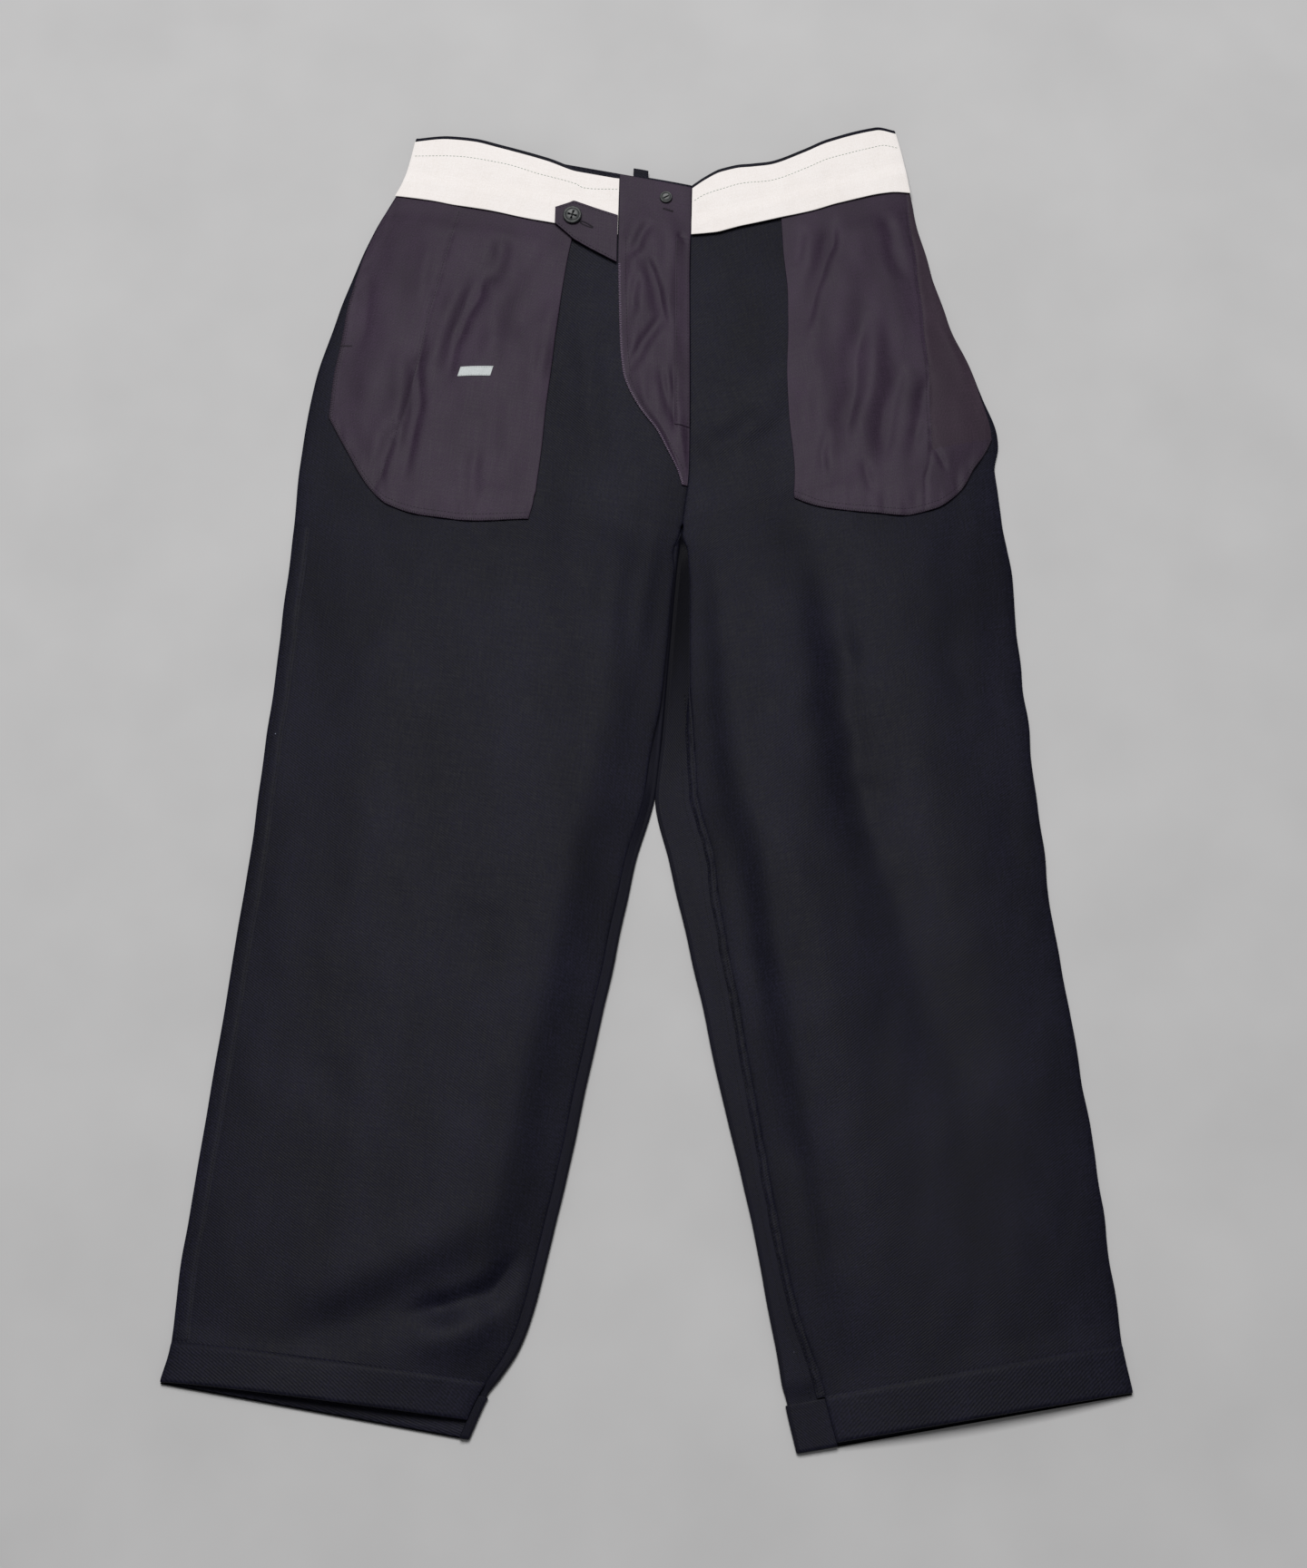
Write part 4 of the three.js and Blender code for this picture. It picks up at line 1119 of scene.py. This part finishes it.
def bag_relief(side, u, v, across, down, x, y):
    """How far the bag's cloth stands off the front: slack, creases, puckered edges."""
    inside = smooth(0, 0.24, u) * smooth(0, 0.2, 1 - u)
    below = smooth(0.03, 0.14, v)
    slack = 3.0 * inside * below * smooth(0, 0.16, 1 - v)
    lift = 0.3 * smooth(0.1, 0.3, v) * (1 + noise.noise((x / 24, y / 30, 1.1)))
    rim = smooth(0.9, 0.99, v) + 0.5 * smooth(0.93, 0.99, 1 - u) * below
    puckers = 0.8 * rim * noise.noise((x / 6.5, y / 9 if v < 0.9 else y / 30, 3.3))
    folded = 1.6 * creases(f"{side}_bag", x, y) * smooth(0, 0.05, u) * below
    wavy = 0.9 * inside * noise.noise((x / 17, y / 46, 12.0)) * below
    past = (FACING_LINE[side](down) - across) * BAG_WIDTH
    facing = 0.35 * smooth(-1.5, 1.5, past)
    drawn = (0.5 + 0.6 * noise.noise((y / 6, 2.2, 9.0))) * math.exp(-((past / 2.2) ** 2)) * below
    return settled(slack + folded + wavy) + lift + puckers + facing - min(drawn, slack + lift)


def bag_point(side, u, v, lift):
    across, down = bag_spot(side, u, v)
    point = front_point(side, across, down, TWILL + BAG_LIFT + lift)
    point.z += bag_relief(side, u, v, across, down, point.x, point.y)
    return point


def on_bag(side, across, down, lift):
    u, v = bag_shares(side, across, down)
    return bag_point(side, min(max(u, 0), 1), min(max(v, 0), 1), lift)


def pocket_bag(side):
    def place(u, v):
        return bag_point(side, u, v, 0)

    def cut(u, v):
        across, down = bag_spot(side, u, v)
        return across * BAG_WIDTH, down

    def on_facing(u, v):
        across, down = bag_spot(side, u, v)
        return side == "right" and across < FACING_LINE[side](down) and down < FACING_END

    second = (FACING_SATEEN, on_facing)
    cloth(f"{side}_pocket_bag", f"pocket_bag_{side}", (130, 170), None, place, cut, *SATEEN_CLOTH, second=second)


def label_point(u, v, lift):
    (near, down_near), (far, down_far), depth = LABEL
    down = mix(down_near, down_far, u) + depth * v
    across = across_from_reach("left", mix(near, far, u) + LABEL_SLANT * v, round(down, 2))
    return on_bag("left", across, down, LINING + lift + LAY_GAP * 0.4)


def bag_label():
    def place(u, v):
        return label_point(u, v, 0)

    def cut(u, v):
        return u * 28, v * LABEL[2]

    cloth("blank_bag_label", "pocket_label", (40, 14), None, place, cut, 0.6, LABEL_WEAVE, "woven_label")


# ---------------------------------------------------------------- fly and tab

SHIELD_WIDTH = track(SHIELD)


def shield_point(reach, down, lift):
    across = across_from_reach("left", reach, down)
    point = front_point("left", across, down, TWILL + LAY_GAP + lift)
    share = reach / SHIELD_WIDTH(down)
    inside = smooth(0, 0.3, share) * smooth(0, 0.26, 1 - share) * smooth(18, 60, down)
    slack = 2.6 * inside * (1 - smooth(225, 262, down))
    wavy = 0.8 * inside * noise.noise((point.x / 10, point.y / 28, 21.0))
    rim = 0.3 * smooth(0.9, 1, share) * noise.noise((down / 6, 0.5, 2.2))
    folded = 1.9 * creases("shield", point.x, point.y) * smooth(0, 0.1, share) * smooth(0, 0.1, 1 - share)
    point.z += settled(slack + folded + wavy) + rim + 0.5
    return point


def fly_shield():
    def spot(u, v):
        down = mix(SHIELD[0][0], SHIELD[-1][0], v)
        return mix(SEAM_GAP, SHIELD_WIDTH(down), u), down

    def place(reach, down):
        return shield_point(reach, down, 0)

    def cut(reach, down):
        return 280 - reach, down

    cloth("fly_shield_cloth", "fly_shield", (56, 220), spot, place, cut, *SATEEN_CLOTH)


def fly_facing():
    def spot(u, v):
        return u, mix(SEAM_GAP, FACING_WIDTH, u), mix(FACING_TOP, FACING_BOTTOM, v)

    def place(u, reach, down):
        point = shield_point(reach, down, LINING + 0.2)
        point.z += 0.25 * noise.noise((down / 11, u, 3.0))
        return point

    def cut(_, reach, down):
        return 400 - reach, down

    cloth("fly_facing_strip", "fly_facing", (12, 110), spot, place, cut, *SATEEN_CLOTH)


TAB_TOP = column(TAB, 1)
TAB_BOTTOM = column(TAB, 2)


def tab_point(reach, down, lift):
    across = across_from_reach("left", reach, round(down, 2))
    height, start, end = TAB_DROOP
    raised = TAB_LIFT - height * smooth(start, end, down)
    point = front_point("left", across, down, TWILL + raised + lift)
    point.z += 1.0 + 0.5 * noise.noise((point.x / 17, point.y / 17, 6.6))
    return point


def waist_tab():
    def spot(u, v):
        reach = mix(TAB[0][0], TAB[-1][0], u)
        return reach, mix(TAB_TOP(reach), TAB_BOTTOM(reach), v)

    def place(reach, down):
        return tab_point(reach, down, 0)

    def cut(reach, down):
        return 500 - reach, down

    cloth("waist_tab_cloth", "waist_tab", (56, 40), spot, place, cut, *SATEEN_CLOTH)


# ---------------------------------------------------------------- buttons

# Half of a turned button's section, as shares of its radius and thickness
BUTTON_PROFILE = [
    (0.0, 0.0), (0.6, 0.0), (0.84, 0.08), (0.97, 0.3), (1.0, 0.55), (0.96, 0.84), (0.88, 1.0),
    (0.79, 0.97), (0.7, 0.8), (0.6, 0.7), (0.3, 0.68), (0.0, 0.68),
]
BUTTON_DISH = 0.68
HOLE_RADIUS = 0.11


def turned_blank(radius, thick):
    body = bmesh.new()
    rim = [body.verts.new((x * radius * MM, 0, z * thick * MM)) for x, z in BUTTON_PROFILE]
    for a, b in zip(rim, rim[1:]):
        body.edges.new((a, b))
    axle = {"cent": (0, 0, 0), "axis": (0, 0, 1), "dvec": (0, 0, 0), "angle": 2 * math.pi}
    bmesh.ops.spin(body, geom=body.verts[:] + body.edges[:], steps=64, use_merge=True, **axle)
    bmesh.ops.remove_doubles(body, verts=body.verts, dist=1e-6)
    bmesh.ops.recalc_face_normals(body, faces=body.faces)
    for face in body.faces:
        face.smooth = True
    return body


def drill_bits(spots, radius, thick):
    bits = bmesh.new()
    for x, y in spots:
        bmesh.ops.create_cone(
            bits, cap_ends=True, segments=20, radius1=radius * MM, radius2=radius * MM, depth=3 * thick * MM,
            matrix=Matrix.Translation((x * MM, y * MM, thick * MM * 0.5)),
        )
    return bits


def button(name, node, size, point_under):
    """A lathe-turned sewing button with a dished middle, drilled holes and its crossing thread."""
    down, reach, radius, thick, holes, foot_radius = size
    centre = front_point("left", across_from_reach("left", reach, round(down, 2)), down, 0)
    seat = max(
        point_under(reach + foot_radius * math.cos(a), down + foot_radius * math.sin(a), LINING).z
        for a in range(7)
    )
    gap = 0.24 * radius
    spots, pairs = [(-gap * 1.1, 0), (gap * 1.1, 0)], [(0, 1)]
    if holes == 4:
        spots, pairs = [(gap, gap), (-gap, gap), (-gap, -gap), (gap, -gap)], [(0, 2), (1, 3)]
    turned = add_mesh(f"{name}_turned", turned_blank(radius, thick))
    drill = add_mesh(f"{name}_drill", drill_bits(spots, HOLE_RADIUS * radius, thick))
    cutter = turned.modifiers.new("holes", "BOOLEAN")
    cutter.operation = "DIFFERENCE"
    cutter.object = drill
    cutter.solver = "EXACT"
    bpy.context.view_layer.update()
    result = bpy.data.meshes.new_from_object(turned.evaluated_get(bpy.context.evaluated_depsgraph_get()))
    for thing in (turned, drill):
        bpy.data.objects.remove(thing)
    solid = bmesh.new()
    solid.from_mesh(result)
    tilt = Matrix.Rotation(math.radians(-2), 4, "Y") @ Matrix.Rotation(math.radians(28), 4, "Z")
    stand = Matrix.Translation(Vector((centre.x, centre.y, seat + 0.1)) * MM) @ tilt
    bmesh.ops.transform(solid, matrix=stand, verts=solid.verts)
    finish_piece(name, solid, BUTTON_RESIN, "button", node)

    # Two turns of thread between each pair of holes
    top = (BUTTON_DISH * thick + 0.1) * MM
    rows = {}
    for pair in pairs:
        start, end = [stand @ Vector((spots[k][0] * MM, spots[k][1] * MM, top)) / MM for k in pair]
        span = end - start
        for shift in (-0.28, 0.28):
            beside = Vector((-span.y, span.x, 0)).normalized() * shift

            def bridge(t, start=start, end=end, beside=beside):
                return start.lerp(end, t) + beside + Vector((0, 0, 0.25 * math.sin(math.pi * t)))

            rows.setdefault((50, span.length + 0.8, 0.5, 0.7), []).append(bridge)
    sewing(f"{name}_thread", rows, NAVY_THREAD, "button")


# ---------------------------------------------------------------- build

for make in (front_panel, back_panel):
    for side in ("left", "right"):
        make(side)
for side in ("left", "right"):
    for make in (front_hem, back_hem, front_waistband, front_curtain, pocket_bag):
        make(side)
across_back(
    "back_waistband", "waistband_back", 0, WAIST_SEAM - SEAM_GAP / 2, UNDERLAY, TWILL, TWILL_CLOTH, "twill"
)
across_back(
    "back_curtain", "curtain_back", CURTAIN_DROP, CURTAIN_DEPTH, 0, LINING, CURTAIN_COTTON, "curtain_cotton"
)
for make in (felled_side_seam, inseam_ridge, belt_loop, bag_label, fly_shield, fly_facing, waist_tab):
    make()
button("tab_button", "button_tab", TAB_BUTTON, tab_point)
button("fly_button", "button_fly", FLY_BUTTON, shield_point)

# ---------------------------------------------------------------- sewing

# Stitches: pitch, length, width, height, and the turn and sway of the thread. The loops lie across a raw edge,
# the bars make a bartack and the rays go round the buttonhole.
SEAM_STITCH = (3.2, 2.3, 0.55, 0.5)
CURTAIN_STITCH = (2.8, 2.1, 0.5, 0.4)
BAG_STITCH = (2.7, 1.9, 0.45, 0.4)
LABEL_STITCH = (1.9, 1.3, 0.4, 0.35)
LOOPS = (1.5, 2.6, 0.55, 0.75, 90, 14)
SHIELD_BARS = (0.55, 2.2, 0.5, 0.7, 90, 8)
BAG_BARS = (0.6, 1.9, 0.5, 0.6, 90, 8)
RAYS = (0.6, 1.6, 0.5, 0.6, 90)

# How far the thread's middle lies above twill and above the linings
ON_TWILL = 0.1
ON_LINING = LINING + 0.05


def run(first, last, at):
    """The path that at() gives over its values from first to last."""
    return lambda t: at(mix(first, last, t))


def on_front(side, distance, lift, from_inner=False):
    """Down a front panel at a distance from its side seam or its inner edge."""

    def at(down):
        share = distance / front_reach(side, round(down, 1))
        across = 1 - share if from_inner else share
        return front_point(side, across, drawn_up(side, across, down), lift + ON_TWILL)

    return at


def on_front_hem(side):
    def at(across):
        down = drawn_up(side, across, HEM_START + HEM_STITCH)
        return front_point(side, across, down, TWILL + TWILL * 0.9)

    return run(0.004, 0.996, at)


def on_inseam(reach_past, lift):
    return lambda down: inseam_point(reach_past, down, lift)


seams = [
    run(352, 984, on_front("left", 3.5, TWILL + 1.1)),
    run(352, 984, on_front("left", 11.0, TWILL + 0.75)),
    run(436, 984, on_inseam(1.2, TWILL + 0.35)),
    run(436, 984, on_inseam(4.4, TWILL + 0.35)),
    run(470, 984, on_inseam(10.0, 0.0 - LAY_GAP + 0.1)),
    run(640, 984, on_front("left", 1.6, TWILL, True)),
]
sewing("leg_seam_stitches", {SEAM_STITCH: seams}, NAVY_THREAD, "twill")
sewing("hem_stitches", {SEAM_STITCH: [on_front_hem("left"), on_front_hem("right")]}, NAVY_THREAD, "twill")

# Curtain stitch line as (across, down)
CURTAIN_LINE = {
    "left": track([
        (0.016, 17.7), (0.204, 12.8), (0.332, 13.7), (0.458, 18), (0.586, 21), (0.62, 23.5), (0.733, 19.8),
    ]),
    "right": track([(0, 19), (0.09, 13), (0.33, 13.5), (0.45, 17), (0.6, 20), (0.79, 15), (0.93, 15.5), (1, 19)]),
}


def on_curtain(side):
    return lambda across: curtain_point(side, across, CURTAIN_LINE[side](across), ON_LINING)


curtain_lines = [run(0.01, 0.74, on_curtain("left")), run(0.01, 0.99, on_curtain("right"))]
sewing("curtain_stitches", {CURTAIN_STITCH: curtain_lines}, GREEN_THREAD, "curtain_cotton")


def on_bag_facing(side, shift=0.0):
    return lambda down: on_bag(side, FACING_LINE[side](down) + shift, down, ON_LINING)


def on_bag_bottom(side, up):
    """Along the bag's stitched lower edge, a distance up from it."""
    return lambda u: bag_point(side, u, 1 - up / (BAG_EDGES[side]["bottom"](u) - BAG_TOP), ON_LINING)


def on_bag_side(side, inward):
    return lambda v: bag_point(side, inward / 165, v, ON_LINING)


bag_seams = [
    run(62, 306, on_bag_facing("left")),
    run(75, FACING_END, on_bag_facing("right")),
    run(75, FACING_END, on_bag_facing("right", 0.012)),
    run(0.03, 1.0, on_bag_bottom("left", 5.5)),
    run(0.0, 1.0, on_bag_bottom("right", 5.5)),
    run(0.6, 0.98, on_bag_side("left", 3.0)),
]
sewing("bag_stitches", {BAG_STITCH: bag_seams}, PLUM_THREAD, "lining_sateen")
bag_edges = [
    run(0.0, 1.0, on_bag_bottom("left", 1.2)),
    run(0.0, 1.0, on_bag_bottom("right", 1.2)),
    run(0.45, 1.0, on_bag_side("left", 1.0)),
]
sewing("bag_overlocking", {LOOPS: bag_edges}, PLUM_THREAD, "lining_sateen")


def on_shield(reach):
    return lambda down: shield_point(reach, down, ON_LINING + (LINING + 0.2))


def on_shield_edge(inward):
    return lambda down: shield_point(max(SHIELD_WIDTH(down) - inward, 0.5), down, ON_LINING)


def shield_bartack(t):
    return shield_point(mix(23, 14.5, t), mix(29.5, 30.5, t), LINING + 0.1)


shield_seams = [
    run(60, 176, on_shield_edge(6.0)),
    run(178, 250, on_shield_edge(5.0)),
    run(56, 212, on_shield(10.6)),
    run(56, 212, on_shield(1.6)),
]
fly_rows = {BAG_STITCH: shield_seams, SHIELD_BARS: [shield_bartack]}
sewing("fly_stitches", fly_rows, PLUM_THREAD, "lining_sateen")
sewing("shield_overlocking", {LOOPS: [run(84, 262, on_shield_edge(0.9))]}, OVERLOCK_THREAD, "lining_sateen")


def on_tab_top(reach):
    return tab_point(reach, TAB_TOP(reach) + 2.0, ON_LINING)


def on_tab_bottom(reach):
    return tab_point(reach, TAB_BOTTOM(reach) - 2.0, ON_LINING)


def buttonhole(t):
    """Round the buttonhole: a slot that runs from the button towards the shield."""
    angle = 2 * math.pi * t
    along = 5.2 * math.cos(angle) + 1.0 * math.cos(2 * angle)
    return tab_point(85.5 - along, 56.5 + 1.25 * math.sin(angle) + 0.28 * along, ON_LINING)


tab_rows = {BAG_STITCH: [run(60, 108, on_tab_top), run(60, 108, on_tab_bottom)], RAYS: [buttonhole]}
sewing("tab_stitches", tab_rows, NAVY_THREAD, "lining_sateen")


def bag_bartack(t):
    """At the pocket mouth of the left bag."""
    return on_bag("left", mix(0.036, 0.068, t), mix(196, 194.5, t), ON_LINING)


sewing("bag_bartack", {BAG_BARS: [bag_bartack]}, PLUM_THREAD, "lining_sateen")
label_rows = {LABEL_STITCH: [lambda t: label_point(t, 0.1, 0.8), lambda t: label_point(t, 0.9, 0.8)]}
sewing("label_stitches", label_rows, PALE_THREAD, "woven_label")

# ---------------------------------------------------------------- floor, light and camera

floor_maker = bmesh.new()
bmesh.ops.create_grid(floor_maker, x_segments=1, y_segments=1, size=6.0)
floor = add_mesh("floor", floor_maker, FLOOR_PAINT)

world = bpy.data.worlds.new("soft_room")
bpy.context.scene.world = world
world.use_nodes = True
connect(world.node_tree, world.node_tree.nodes["Background"], {"Color": colour("#f4f4f5"), "Strength": 0.2})

# One window, behind the waist and high above the floor
WINDOW = Vector((-0.35, 1.45, 4.2))
window = bpy.data.lights.new("window_light", "AREA")
window.shape = "SQUARE"
window.size = 2.0
window.energy = 176
window.color = colour("#fefdfd")[:3]
light = add_object("window_light", window)
light.location = WINDOW
light.rotation_euler = (-WINDOW).to_track_quat("-Z", "Y").to_euler()

# Photographed from 74 degrees above the floor with a long lens
ELEVATION = math.radians(74)
DISTANCE = 2.4
AIM = Vector((0.005, -0.024, 0))
lens = bpy.data.cameras.new("photo_camera")
lens.sensor_fit = "AUTO"
lens.sensor_width = 36
lens.lens = 72
camera = add_object("photo_camera", lens)
camera.location = AIM + Vector((0, -math.cos(ELEVATION), math.sin(ELEVATION))) * DISTANCE
camera.rotation_euler = (math.pi / 2 - ELEVATION, 0, 0)
bpy.context.scene.camera = camera
bpy.context.scene.view_settings.view_transform = "Standard"
bpy.context.scene.view_settings.look = "None"
